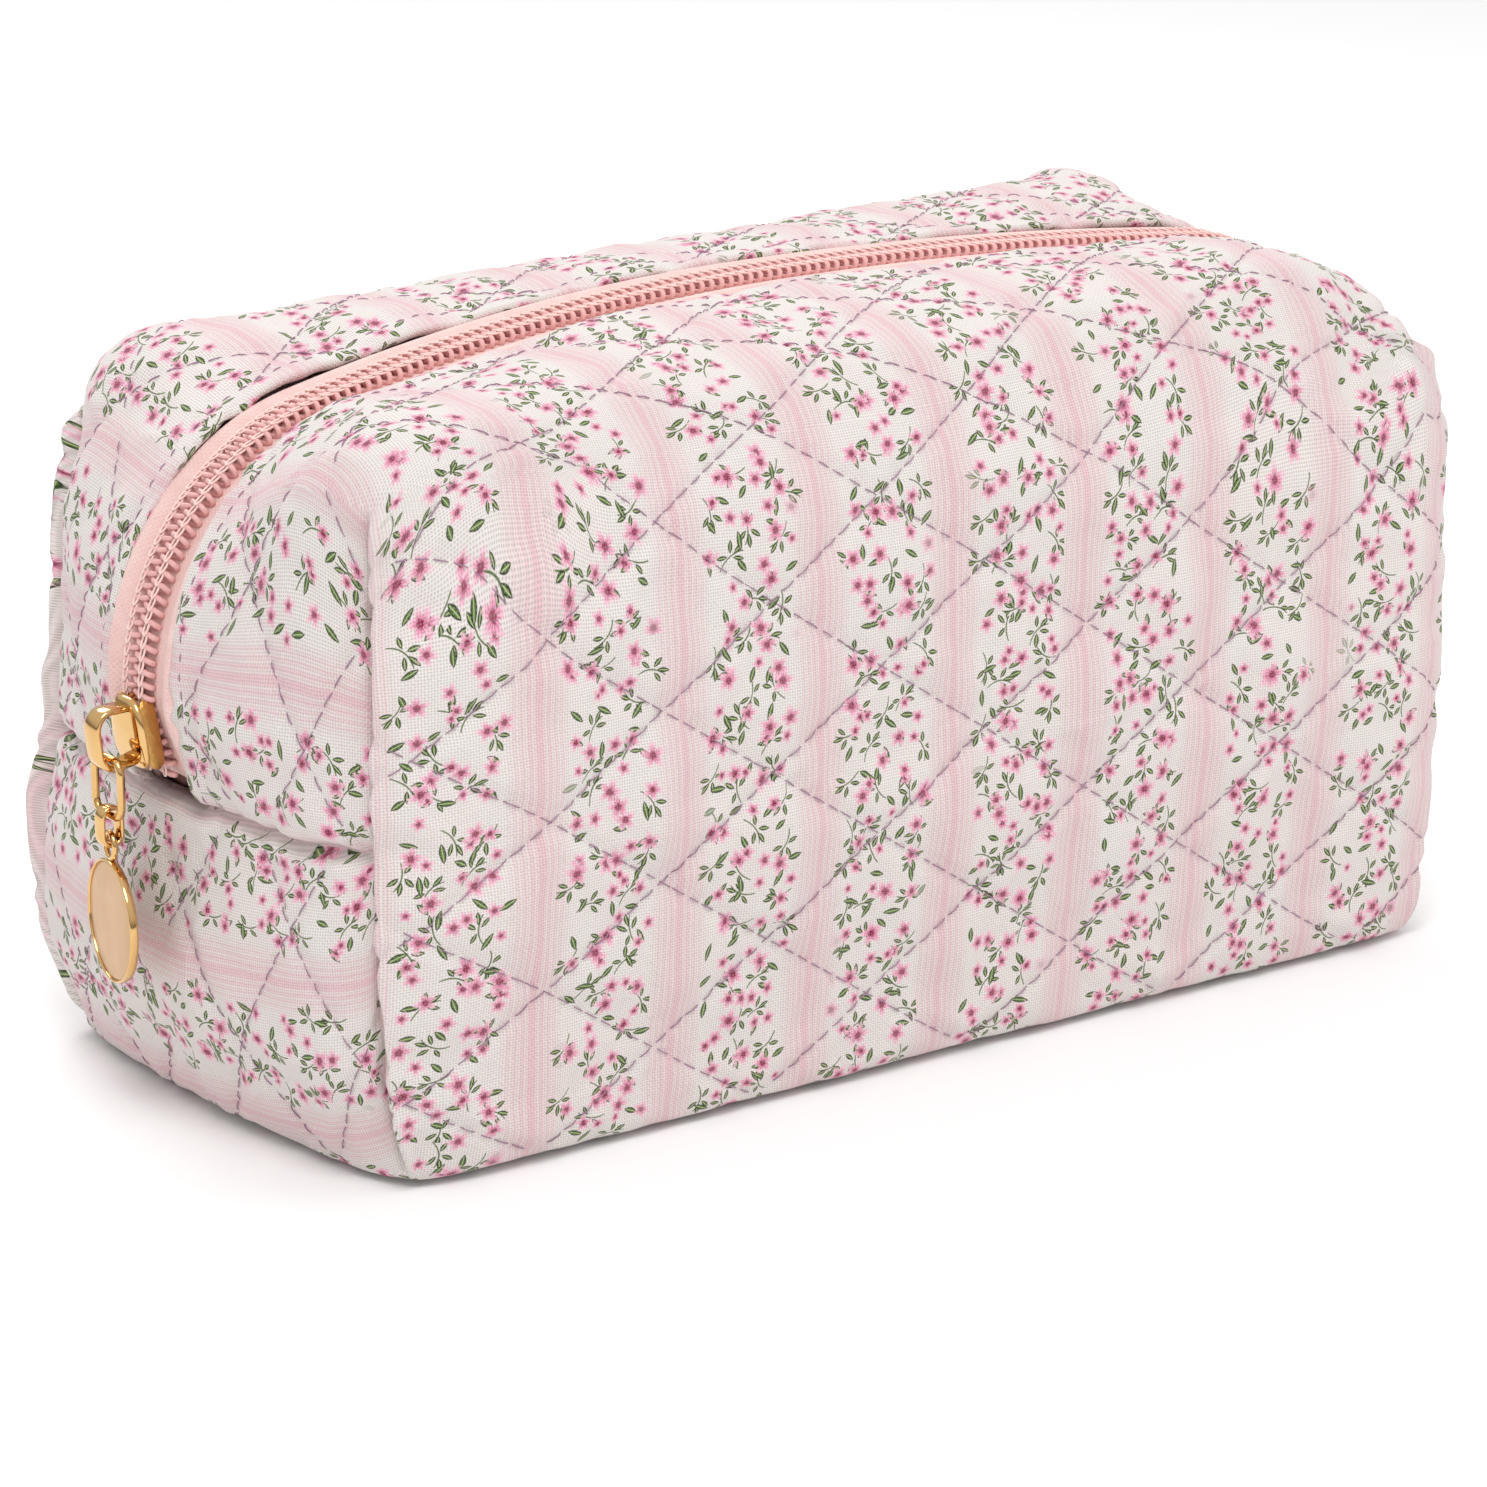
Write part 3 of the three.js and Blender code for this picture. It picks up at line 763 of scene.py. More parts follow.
class Quilting:
    """The diamond lattice on the flat cloth, placed by one of its crossings on the front panel."""

    crossing_x, crossing_z = -81.7, 85.5

    def __init__(self, front):
        row = np.argmin(np.abs(front.box[0, :, 2] - self.crossing_z))
        column = np.argmin(np.abs(front.points[:, row, 0] - self.crossing_x))
        heights = front.points[column, :, 2]
        self.at_u = self.crossing_x
        self.at_v = float(np.interp(-self.crossing_z, -heights, front.v[column]))
        self.gap = 1 / math.hypot(1 / QUILT_U, 1 / QUILT_V)

    def distance(self, u, v):
        """Distance to the nearest line of quilting, in millimetres."""
        across, down = (u - self.at_u) / QUILT_U, (v - self.at_v) / QUILT_V
        off = [np.abs(line - np.round(line)) * self.gap for line in (across + down, across - down)]
        return np.minimum(*off)

    def lines(self, low, high):
        """Start, direction and length of every line that crosses a rectangle of the cloth."""
        direction = np.array([QUILT_U, QUILT_V]) / math.hypot(QUILT_U, QUILT_V)
        reach = np.linalg.norm(high - low)
        middle = (low + high) / 2
        home = np.array([self.at_u, self.at_v])
        for slope in (1, -1):
            along = direction * (1, slope)
            normal = np.array([1 / QUILT_U, -slope / QUILT_V])
            place = float((middle - home) @ normal)
            spread = math.ceil(reach / self.gap / 2) + 1
            for number in range(round(place) - spread, round(place) + spread + 1):
                foot = middle + normal * (number - place) / (normal @ normal)
                yield foot - along * reach, along, 2 * reach


def sewn_mesh(panels, quilting):
    """All panels as one mesh, joined along the seams and soft edges and open at the zip."""
    index, points, relief, faces, uvs, parts, held = {}, [], [], [], [], [], []
    for number, panel in enumerate(panels):
        rows, columns = panel.u.shape
        ids = np.empty((rows, columns), int)
        heights = seam_relief(panel)
        sewn = quilting.distance(panel.u, panel.v) < 1.5
        for i in range(rows):
            for j in range(columns):
                key = tuple(np.round(panel.box[i, j], 3) + 0.0)
                if key not in index:
                    index[key] = len(points)
                    points.append(panel.points[i, j])
                    relief.append(heights[i, j])
                    held.append(sewn[i, j])
                at = index[key]
                ids[i, j] = at
                relief[at] = min(relief[at], heights[i, j])
                held[at] = held[at] or sewn[i, j]
        i, j = rows // 2, columns // 2
        across = panel.points[i, j] - panel.points[i - 1, j]
        along = panel.points[i, j] - panel.points[i, j - 1]
        outward = np.dot(np.cross(across, along), panel.points[i, j] - (0, 0, SEAM_Z)) > 0
        for i in range(rows - 1):
            for j in range(columns - 1):
                ring = [(i, j), (i + 1, j), (i + 1, j + 1), (i, j + 1)]
                ring = ring if outward else ring[::-1]
                faces.append([ids[k] for k in ring])
                uvs += [(panel.u[k] / 10, panel.v[k] / 10) for k in ring]
                parts.append(number)
    return np.array(points), np.array(relief), faces, uvs, parts, np.array(held)


def panel_mesh(name, panels, quilting):
    points, relief, faces, uvs, parts, held = sewn_mesh(panels, quilting)
    piece = mesh_object(name, points, faces)
    layer = piece.data.uv_layers.new(name="cloth")
    layer.data.foreach_set("uv", np.array(uvs).ravel())
    for number in range(len(panels)):
        piece.data.materials.append(None)
    piece.data.polygons.foreach_set("material_index", parts)
    piece.data.update()
    return piece, relief, held


def inflated(piece, held):
    """Blow the cloth out between its stitch lines with a cloth simulation, and return the new points."""
    before = coordinates(piece)
    group = piece.vertex_groups.new(name="sewn")
    group.add([int(i) for i in np.nonzero(held)[0]], 1.0, "REPLACE")
    modifier = piece.modifiers.new("cloth", "CLOTH")
    settings = modifier.settings
    settings.quality = 5
    settings.mass = 0.25
    settings.vertex_group_mass = "sewn"
    settings.tension_stiffness = settings.compression_stiffness = 12
    settings.shear_stiffness = 6
    settings.bending_stiffness = 0.35
    settings.use_pressure = True
    settings.uniform_pressure_force = 1.6
    settings.shrink_min = -0.02
    settings.effector_weights.gravity = 0
    modifier.collision_settings.use_collision = False
    modifier.collision_settings.use_self_collision = False
    scene = bpy.context.scene
    scene.frame_start, scene.frame_end = 1, 20
    for number in range(1, 21):
        scene.frame_set(number)
    shown = piece.evaluated_get(bpy.context.evaluated_depsgraph_get())
    after = np.empty(len(shown.data.vertices) * 3)
    shown.data.vertices.foreach_get("co", after)
    piece.modifiers.remove(modifier)
    piece.vertex_groups.clear()
    scene.frame_set(1)
    moved = after.reshape(-1, 3) / MM - before
    reach = np.linalg.norm(moved, axis=1, keepdims=True)
    most = 2.2
    return before + moved * np.minimum(1, most / np.maximum(reach, 1e-9))


def smoothed_noise(u, v, wave, seed):
    """Gentle repeatable waviness from a few crossed sine waves."""
    random = np.random.default_rng(seed)
    total = np.zeros_like(u)
    count = 7
    for _ in range(count):
        angle, phase = random.uniform(0, 2 * np.pi, 2)
        length = wave * random.uniform(0.7, 1.5)
        total += np.sin((u * np.cos(angle) + v * np.sin(angle)) * 2 * np.pi / length + phase)
    return total / count**0.5


def vertex_cloth(piece):
    """One flat-cloth place for each vertex, in millimetres."""
    mesh = piece.data
    uv, owner = np.empty(len(mesh.loops) * 2), np.empty(len(mesh.loops), int)
    mesh.uv_layers["cloth"].data.foreach_get("uv", uv)
    mesh.loops.foreach_get("vertex_index", owner)
    out = np.zeros((len(mesh.vertices), 2))
    out[owner] = uv.reshape(-1, 2) * 10
    return out[:, 0], out[:, 1]


def boundary_vertices(piece):
    mesh = piece.data
    uses, edges = np.empty(len(mesh.loops), int), np.empty(len(mesh.edges) * 2, int)
    mesh.loops.foreach_get("edge_index", uses)
    mesh.edges.foreach_get("vertices", edges)
    alone = np.bincount(uses, minlength=len(mesh.edges)) == 1
    out = np.zeros(len(mesh.vertices), bool)
    out[edges.reshape(-1, 2)[alone].ravel()] = True
    return out


def add_fine_relief(cover, quilting):
    """Stitch valleys with small puckers beside them, and slight unevenness."""
    u, v = vertex_cloth(cover)
    away = quilting.distance(u, v)
    valley = -0.6 * bell(away, 1.1)
    pucker = 0.17 * smoothed_noise(u, v, 4.5, 3) * np.exp(-away / 4)
    sway = 0.22 * smoothed_noise(u, v, 26, 8)
    points = coordinates(cover)
    lift = (valley + pucker + sway) * np.clip(points[:, 2] / 3, 0, 1)
    points = points + normals_of(cover) * lift[:, None]
    points[:, 2] = np.maximum(points[:, 2], 0.05)
    set_coordinates(cover, points)


def make_cover(panels, quilting):
    cover, relief, held = panel_mesh("cover", panels, quilting)
    set_coordinates(cover, coordinates(cover) + normals_of(cover) * relief[:, None])
    seam = relief < -1.6
    rests = coordinates(cover)[:, 2] < 0.95
    set_coordinates(cover, inflated(cover, held | seam | boundary_vertices(cover) | rests))
    smooth = cover.modifiers.new("fine", "SUBSURF")
    smooth.levels = smooth.render_levels = 1
    smooth.uv_smooth = "NONE"
    apply_modifiers(cover)
    add_fine_relief(cover, quilting)
    return cover


def add_hem(piece, rows):
    """Turn the cloth under along its open edge; each row is (below the surface, back from the edge)."""
    bm = bmesh.new()
    bm.from_mesh(piece.data)
    layer = bm.loops.layers.uv["cloth"]
    bm.normal_update()
    edges = [e for e in bm.edges if len(e.link_faces) == 1]
    made = {}
    for vert in {v for e in edges for v in e.verts}:
        place = vert.co / MM
        at_end = place.z < SEAM_Z + 1
        back = Vector((0, 0, -1)) if at_end else Vector((0, math.copysign(1, place.y), 0))
        made[vert] = [bm.verts.new((place - vert.normal * down + back * away) * MM) for down, away in rows]
    for edge in edges:
        face = edge.link_faces[0]
        loop = next(lp for lp in face.loops if lp.edge == edge)
        a, b = loop.vert, loop.link_loop_next.vert
        uv_a, uv_b = loop[layer].uv.copy(), loop.link_loop_next[layer].uv.copy()
        chain_a, chain_b = [a] + made[a], [b] + made[b]
        for k in range(len(rows)):
            ring = (chain_b[k], chain_a[k], chain_a[k + 1], chain_b[k + 1])
            new = bm.faces.new(ring)
            new.material_index, new.smooth = face.material_index, True
            for corner, uv, step in zip(new.loops, (uv_b, uv_a, uv_a, uv_b), (k, k, k + 1, k + 1)):
                corner[layer].uv = uv + Vector((0, 0.08 * step))
    bm.to_mesh(piece.data)
    bm.free()


def part_of(whole, name, wanted):
    """The faces of some panels, as a piece of their own."""
    piece = bpy.data.objects.new(name, whole.data.copy())
    piece.data.name = name
    bpy.context.collection.objects.link(piece)
    bm = bmesh.new()
    bm.from_mesh(piece.data)
    bmesh.ops.delete(bm, geom=[f for f in bm.faces if f.material_index not in wanted], context="FACES")
    for face in bm.faces:
        face.material_index = 0
    bm.to_mesh(piece.data)
    bm.free()
    piece.data.materials.clear()
    return piece


# ---- Stitches ------------------------------------------------------------------------------------------
class PanelMap:
    """Finds the place in space, and the outward direction, for a place on one panel's flat cloth."""

    def __init__(self, cover, number):
        mesh = cover.data
        sizes, parts = np.empty(len(mesh.polygons), int), np.empty(len(mesh.polygons), int)
        mesh.polygons.foreach_get("loop_total", sizes)
        mesh.polygons.foreach_get("material_index", parts)
        owner, uv = np.empty(len(mesh.loops), int), np.empty(len(mesh.loops) * 2)
        mesh.loops.foreach_get("vertex_index", owner)
        mesh.uv_layers["cloth"].data.foreach_get("uv", uv)
        mine = np.repeat(parts, sizes) == number
        verts, first = np.unique(owner[mine], return_index=True)
        self.uv = uv.reshape(-1, 2)[mine][first] * 10
        self.points = coordinates(cover)[verts]
        self.normals = normals_of(cover)[verts]
        self.tree = KDTree(len(verts))
        for i, (u, v) in enumerate(self.uv):
            self.tree.insert((u, v, 0), i)
        self.tree.balance()
        self.low, self.high = self.uv.min(0), self.uv.max(0)

    def place(self, uv):
        """The point and normal from a plane through the nearest points, or None away from the panel."""
        found = self.tree.find_n((*uv, 0), 6)
        if found[0][2] > 1.4:
            return None
        near = [index for _, index, _ in found]
        offsets = np.column_stack([self.uv[near] - uv, np.ones(len(near))])
        fit, *_ = np.linalg.lstsq(offsets, self.points[near], rcond=None)
        astray = np.linalg.norm(fit[-1] - self.points[near[0]]) > 2.0
        return None if astray else (fit[-1], self.normals[near[0]])


def dash(panel_map, start, along, length, radius):
    """One stitch: a short thread that comes up out of the cloth, lies on it and goes back down."""
    path, ups = [], []
    lifts = (-0.3, 0.05, 0.16, 0.05, -0.3)
    for step, lift in zip(np.linspace(0, 1, len(lifts)), lifts):
        found = panel_map.place(start + along * length * step)
        if found is None:
            return None
        point, normal = found
        path.append(point + normal * lift)
        ups.append(normal)
    return sweep(path, radius, 6, ups)


def quilting_stitches(panel_map, quilting, margin=2.6):
    """Dashes along every quilting line of one panel, except in the seams at its edges."""
    low, high = panel_map.low + margin, panel_map.high - margin
    for foot, along, reach in quilting.lines(panel_map.low, panel_map.high):
        for number in range(int(reach / STITCH_PITCH)):
            start = foot + along * number * STITCH_PITCH
            end = start + along * STITCH_SEEN
            if np.all(np.minimum(start, end) > low) and np.all(np.maximum(start, end) < high):
                yield dash(panel_map, start, along, STITCH_SEEN, THREAD_R)


def edge_stitches(panel_map, at_v):
    """The topstitching beside the zip: dashes along one line of the cloth."""
    pitch, seen = 3.0, 2.2
    for start in np.arange(panel_map.low[0] + 1, panel_map.high[0] - pitch, pitch):
        yield dash(panel_map, np.array([start, at_v]), np.array([1.0, 0.0]), seen, THREAD_R)


# ---- The zip -------------------------------------------------------------------------------------------
ZIP_FOOT_Z = 57.3
COIL_PITCH = 2.0


def outline_over_zip():
    """Points along the bag's outline at y = 0, over the top from the left end's seam to the right's."""
    start, stop = (math.atan2(ZIP_FOOT_Z - SEAM_Z, -end["seam"]) for end in (LEFT, RIGHT))
    angles = np.linspace(start, math.pi - stop, 3000)
    return filled_out(np.stack([np.cos(angles) * 100, 0 * angles, SEAM_Z + np.sin(angles) * 100], axis=-1))


ZIP_OUTLINE = outline_over_zip()
ZIP_AT = np.concatenate([[0], np.cumsum(np.linalg.norm(np.diff(ZIP_OUTLINE, axis=0), axis=1))])
ZIP_RUN = ZIP_AT[-1]


def along_zip(run):
    return np.stack([np.interp(run, ZIP_AT, ZIP_OUTLINE[:, axis]) for axis in range(3)], axis=-1)


def zip_direction(run):
    way = along_zip(run + 0.8) - along_zip(run - 0.8)
    return way / np.linalg.norm(way, axis=-1, keepdims=True)


def zip_point(run, y, depth):
    """Points run millimetres along the zip from its left end, at y, and depth under the bag's outline."""
    run, y, depth = np.broadcast_arrays(*(np.asarray(value, float) for value in (run, y, depth)))
    inner = np.clip(run, 1, ZIP_RUN - 1)
    way = zip_direction(inner)
    outward = np.stack([-way[..., 2], 0 * inner, way[..., 0]], axis=-1)
    across = np.stack([0 * y, y, 0 * y], axis=-1)
    return along_zip(run) - outward * depth[..., None] + across


def rounded_square_wave(angle, squareness=0.6):
    wave = np.cos(angle)
    return np.sign(wave) * np.abs(wave) ** squareness


def coil_row(side):
    """One half of the chain: a nylon filament wound in flattened turns that reach past the middle."""
    turns, steps = int(ZIP_RUN / COIL_PITCH), 14
    turn = np.arange(turns * steps) / steps
    angle = 2 * np.pi * turn
    run = COIL_PITCH * (turn + (0.25 if side < 0 else 0.75))
    y = side * (1.72 + 2.0 * rounded_square_wave(angle))
    depth = 1.15 - 0.72 * rounded_square_wave(angle - np.pi / 2, 0.7)
    return sweep(zip_point(run, y, depth), 0.46, 8, zip_direction(run))


def chain_stitch_row(side):
    """The thread that sews the coil to its tape, seen as a row of linked loops on top."""
    parts = []
    angle = np.arange(10) * 2 * np.pi / 10
    for number in range(int(ZIP_RUN / COIL_PITCH) - 1):
        run = COIL_PITCH * (number + 0.9) + 1.25 * np.cos(angle)
        y = side * 2.25 + 0.5 * np.sin(angle)
        depth = 0.12 + 0.22 * np.cos(angle)
        parts.append(sweep(zip_point(run, y, depth), 0.2, 5, zip_point(run, y, -9) - zip_point(run, y, 0), True))
    return joined(parts)


def ribbon(sections, cross):
    """A closed strip with this cross-section at every step; each section places (across, depth) points."""
    rings = [section(cross) for section in sections]
    count, size = len(rings), len(cross)
    faces = [
        (i * size + j, i * size + (j + 1) % size, (i + 1) * size + (j + 1) % size, (i + 1) * size + j)
        for i in range(count - 1)
        for j in range(size)
    ]
    faces += [tuple(range(size))[::-1], tuple((count - 1) * size + j for j in range(size))]
    return np.concatenate(rings), faces


TAPE_INNER, TAPE_OUTER, TAPE_DEPTH, TAPE_THICK = 0.12, 11.0, 2.0, 0.5


def zip_tape(side):
    across = np.linspace(TAPE_INNER, TAPE_OUTER, 17)
    sunk = TAPE_DEPTH + 0.9 * ease(np.clip((across - SLIT) / (TAPE_OUTER - SLIT), 0, 1))
    sunk = sunk - 1.3 * bell(across - SLIT, 2.0)
    cross = list(zip(across, sunk)) + list(zip(across[::-1], sunk[::-1] + TAPE_THICK))
    runs = np.arange(0, ZIP_RUN, 1.6)

    def section_at(run):
        return lambda points: np.array([zip_point(run, side * y, depth) for y, depth in points])

    return ribbon([section_at(run) for run in runs], cross), runs, cross


def give_strip_uv(piece, runs, cross):
    """Along the strip as U and across it as V, in centimetres."""
    layer = piece.data.uv_layers.new(name="cloth")
    size = len(cross)
    uv = []
    for loop in piece.data.loops:
        row, column = divmod(loop.vertex_index, size)
        uv.append((runs[row] / 10, cross[column][0] / 10))
    layer.data.foreach_set("uv", np.array(uv).ravel())


# ---- Metal parts ---------------------------------------------------------------------------------------
def strap_loop(path, wide, thick, closed, edge_sides=4):
    """A flat strap with rounded edges, bent along a path in the XZ plane; its width runs along Y."""
    path = np.asarray(path, float)
    ahead = np.roll(path, -1, 0) - np.roll(path, 1, 0) if closed else np.gradient(path, axis=0)
    ahead /= np.linalg.norm(ahead, axis=1)[:, None]
    normal = np.stack([-ahead[:, 1], ahead[:, 0]], axis=1)
    radius = thick / 2
    cross = []
    for centre, start in ((wide / 2 - radius, -90), (-(wide / 2 - radius), 90)):
        for k in range(edge_sides + 1):
            angle = math.radians(start + 180 * k / edge_sides)
            cross.append((centre + radius * math.cos(angle), radius * math.sin(angle)))
    count, size = len(path), len(cross)
    points = [
        (path[i, 0] + normal[i, 0] * out, across, path[i, 1] + normal[i, 1] * out)
        for i in range(count)
        for across, out in cross
    ]
    faces = []
    for i in range(count if closed else count - 1):
        for j in range(size):
            a, b = i * size + j, i * size + (j + 1) % size
            c, d = (i + 1) % count * size + (j + 1) % size, (i + 1) % count * size + j
            faces.append((a, b, c, d))
    if not closed:
        faces += [tuple(range(size))[::-1], tuple((count - 1) * size + j for j in range(size))]
    return np.array(points), faces


def rounded_rectangle(half_wide, half_tall, radius, steps=8):
    """Points round a rectangle with round corners, about its middle."""
    out = []
    for quarter, (sx, sy) in enumerate(((1, 1), (-1, 1), (-1, -1), (1, -1))):
        for k in range(steps + 1):
            angle = math.pi / 2 * (quarter + k / steps)
            out.append((
                sx * (half_wide - radius) + radius * math.cos(angle),
                sy * (half_tall - radius) + radius * math.sin(angle),
            ))
    return np.array(out)


def box_mm(node):
    low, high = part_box(node)
    return np.array(low) / MM, np.array(high) / MM


SLIDER_TURN = math.radians(-7.1)


def on_slider(run_angle, y, radius):
    """A place on the slider, from its angle round the corner, its y and its radius."""
    angle = math.pi - (SLIDER_TURN + run_angle)
    return (-LEFT["corner_x"] + radius * math.cos(angle), y, LEFT["corner_z"] + radius * math.sin(angle))


def slider_plate(inner_r, outer_r, half_angle, half_wide, dome, nose):
    """A curved plate with a rounded outline and a soft edge; nose narrows its upper end."""
    rings, around = 9, 48
    points, faces = [], []
    for face_sign in (1, -1):
        start = len(points)
        points.append(None)
        for k in range(1, rings + 1):
            share = k / rings
            for j in range(around):
                turn = 2 * math.pi * j / around
                c, s = math.cos(turn), math.sin(turn)
                a = share * math.copysign(abs(c) ** 0.5, c)
                b = share * math.copysign(abs(s) ** 0.55, s)
                narrowed = b * (1 - nose * max(a, 0) ** 2)
                middle = (inner_r + outer_r) / 2
                half = (outer_r - inner_r) / 2 * (1 - share**8) ** 0.5
                lift = dome * (1 - share**2) if face_sign > 0 else 0
                points.append(on_slider(a * half_angle, narrowed * half_wide, middle + face_sign * half + lift))
        middle_r = outer_r + dome if face_sign > 0 else inner_r
        points[start] = on_slider(0, 0, middle_r)
        for j in range(around):
            k = (j + 1) % around
            triangle = (start, start + 1 + j, start + 1 + k)
            faces.append(triangle if face_sign < 0 else triangle[::-1])
            for row in range(rings - 1):
                a, b = start + 1 + row * around + j, start + 1 + row * around + k
                quad = (a, a + around, b + around, b)
                faces.append(quad if face_sign < 0 else quad[::-1])
    rim_top, rim_low = 1 + (rings - 1) * around, 1 + rings * around + 1 + (rings - 1) * around
    for j in range(around):
        k = (j + 1) % around
        faces.append((rim_top + j, rim_top + k, rim_low + k, rim_low + j))
    return points, faces


def make_slider_body():
    half_angle = math.radians(7.7)
    top = slider_plate(44.8, 46.2, half_angle, 5.0, 0.5, 0.35)
    low = slider_plate(39.0, 40.4, half_angle, 5.0, 0.0, 0.35)
    return joined([top, low])


def make_flanges():
    """The turned-down sides of the slider's top plate, with their rough cast face outwards."""
    parts = []
    half_angle = math.radians(7.4)
    for side in (-1, 1):
        path = []
        for a in np.linspace(-1, 1, 25):
            narrowed = 1 - 0.33 * max(a, 0) ** 2
            path.append((a * half_angle, side * 4.55 * narrowed))
        turns = np.linspace(0, 2 * math.pi, 16, endpoint=False)
        cross = [(0.42 * math.cos(t), 1.45 * math.sin(t)) for t in turns]

        def section_at(angle, y, taper):
            return lambda points: np.array(
                [on_slider(angle, y + across * taper, 44.2 + up * taper) for across, up in points]
            )

        tapers = np.sqrt(np.maximum(1 - np.linspace(-1, 1, 25) ** 8, 0.02))
        parts.append(ribbon([section_at(a, y, t) for (a, y), t in zip(path, tapers)], cross))
    return joined(parts)


def make_post():
    """The wedge that joins the slider's plates and parts the chain."""
    cross = [(0.5 * math.cos(t), 2.6 * math.sin(t)) for t in np.linspace(0, 2 * math.pi, 12, endpoint=False)]
    rings = [np.array([on_slider(math.radians(4.6) + up / 43, across, r) for across, up in cross])
             for r in np.linspace(40.0, 45.2, 4)]
    size = len(cross)
    faces = [(i * size + j, i * size + (j + 1) % size, (i + 1) * size + (j + 1) % size, (i + 1) * size + j)
             for i in range(3) for j in range(size)]
    return np.concatenate(rings), faces


def make_bail():
    """The broad bridge on the slider that the ring hangs from."""
    foot_r, proud, half_tall, wire, rounding = 46.3, 5.8, 4.4, 1.1, 2.8
    arch = rounded_rectangle(proud, half_tall, rounding, 10)
    arch = [(out, up) for out, up in arch if out >= -1e-6]
    arch = sorted(arch, key=lambda p: math.atan2(p[1], p[0]))
    outline = [(-0.6, -half_tall)] + arch + [(-0.6, half_tall)]
    path = [on_slider(up / foot_r, 0, foot_r + out) for out, up in outline]
    flat = [(x, z) for x, _, z in path]
    return strap_loop(flat, 4.2, wire, False)


def make_ring():
    low, high = box_mm("pull_ring")
    middle, half = (low + high) / 2, (high - low) / 2
    wire = 0.65
    loop = rounded_rectangle(half[1] - wire, half[2] - wire, 2.3, 8)
    path = [(middle[0], middle[1] + y, middle[2] + z) for y, z in loop]
    return sweep(path, wire, 14, (1, 0, 0), True)


def make_band():
    """The folded band that links the ring to the tag."""
    low, high = box_mm("band_loop")
    middle, half = (low + high) / 2, (high - low) / 2
    thick = 0.8
    loop = rounded_rectangle(half[0] - thick / 2, half[2] - thick / 2, half[0] - thick / 2 - 0.05, 10)
    return strap_loop([(middle[0] + x, middle[2] + z) for x, z in loop], 2 * half[1], thick, True)


TAG_TURN = math.radians(-11)


def tag_place(low, radius, points):
    """Turn points made about the tag's middle, facing -X, to where the tag hangs."""
    centre = np.array([(low[0][0] + low[1][0]) / 2, 0.0, low[0][2] + radius])
    c, s = math.cos(TAG_TURN), math.sin(TAG_TURN)
    points = np.asarray(points, float)
    turned_x = c * points[:, 0] - s * points[:, 1]
    turned_y = s * points[:, 0] + c * points[:, 1]
    return np.stack([turned_x, turned_y, points[:, 2]], axis=1) + centre


def lathe(profile, around=72):
    """Turn (radius, out) pairs about X; a radius of nought closes the middle."""
    points, faces = [], []
    rows = []
    for radius, out in profile:
        rows.append(len(points))
        count = 1 if radius == 0 else around
        for j in range(count):
            turn = 2 * math.pi * j / around
            points.append((out, radius * math.cos(turn), radius * math.sin(turn)))
    for (a, (ra, _)), (b, (rb, _)) in zip(zip(rows[:-1], profile[:-1]), zip(rows[1:], profile[1:])):
        for j in range(around):
            k = (j + 1) % around
            if ra == 0:
                faces.append((a, b + j, b + k))
            elif rb == 0:
                faces.append((a + j, b, a + k))
            else:
                faces.append((a + j, b + j, b + k, a + k))
    return points, faces


def tag_parts():
    """The tag's satin faces, and its polished rim with the eyelet it hangs from."""
    box = box_mm("tag_disc")
    radius, half = 10.0, 0.65
    face_r = radius - 0.5
    faces = []
    for side in (-1, 1):
        profile = [(0, side * (half - 0.18)), (3, side * (half - 0.18)), (6, side * (half - 0.19)),
                   (face_r - 0.5, side * (half - 0.22)), (face_r, side * (half - 0.3)), (face_r + 0.2, side * 0.1)]
        points, quads = lathe(profile)
        faces.append((points, quads if side > 0 else [q[::-1] for q in quads]))
    satin = joined(faces)
    rim_middle, rim_half = (radius + face_r) / 2, (radius - face_r) / 2
    ring = []
    for k in range(16):
        turn = 2 * math.pi * k / 16
        ring.append((rim_middle + rim_half * rounded(math.cos(turn)), (half + 0.05) * rounded(math.sin(turn))))
    rim = lathe(ring + ring[:1])
    eyelet_r, wire = 2.1, 0.5
    turns = np.arange(28) * 2 * np.pi / 28
    eyelet_z = box[1][2] - eyelet_r - wire - (box[0][2] + radius)
    path = np.stack([0 * turns, eyelet_r * np.cos(turns), eyelet_z + eyelet_r * np.sin(turns)], axis=1)
    eyelet = sweep(path, wire, 10, (1, 0, 0), True)
    polished = joined([rim, eyelet])
    return [(tag_place(box, radius, points), quads) for points, quads in (satin, polished)]


def rounded(value, power=0.75):
    return math.copysign(abs(value) ** power, value)


# ---- Putting the bag together --------------------------------------------------------------------------
FOLD_START, FOLD_END = (0, -0.04, 0.072), (0, -0.04, 0.110)


def finish_piece(piece, material, body=None, replaces=()):
    """Give a piece its material, hide the parts it replaces, and let it ride on a body; a piece for the lip is
    only baked in place.
    """
    piece.data.materials.clear()
    piece.data.materials.append(material)
    if replaces:
        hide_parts(*replaces)
    if body == "fold":
        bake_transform(piece)
        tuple(FOLD_START)
        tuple(FOLD_END)
    else:
        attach(piece, body or "root")
    return piece


def piece_from(name, shape, material, body, replaces=()):
    piece = mesh_object(name, *shape)
    tidy_normals(piece)
    return finish_piece(piece, material, body, replaces)


def tidy_normals(piece):
    bm = bmesh.new()
    bm.from_mesh(piece.data)
    bmesh.ops.remove_doubles(bm, verts=bm.verts, dist=0.00001)
    bmesh.ops.recalc_face_normals(bm, faces=bm.faces)
    bm.to_mesh(piece.data)
    bm.free()


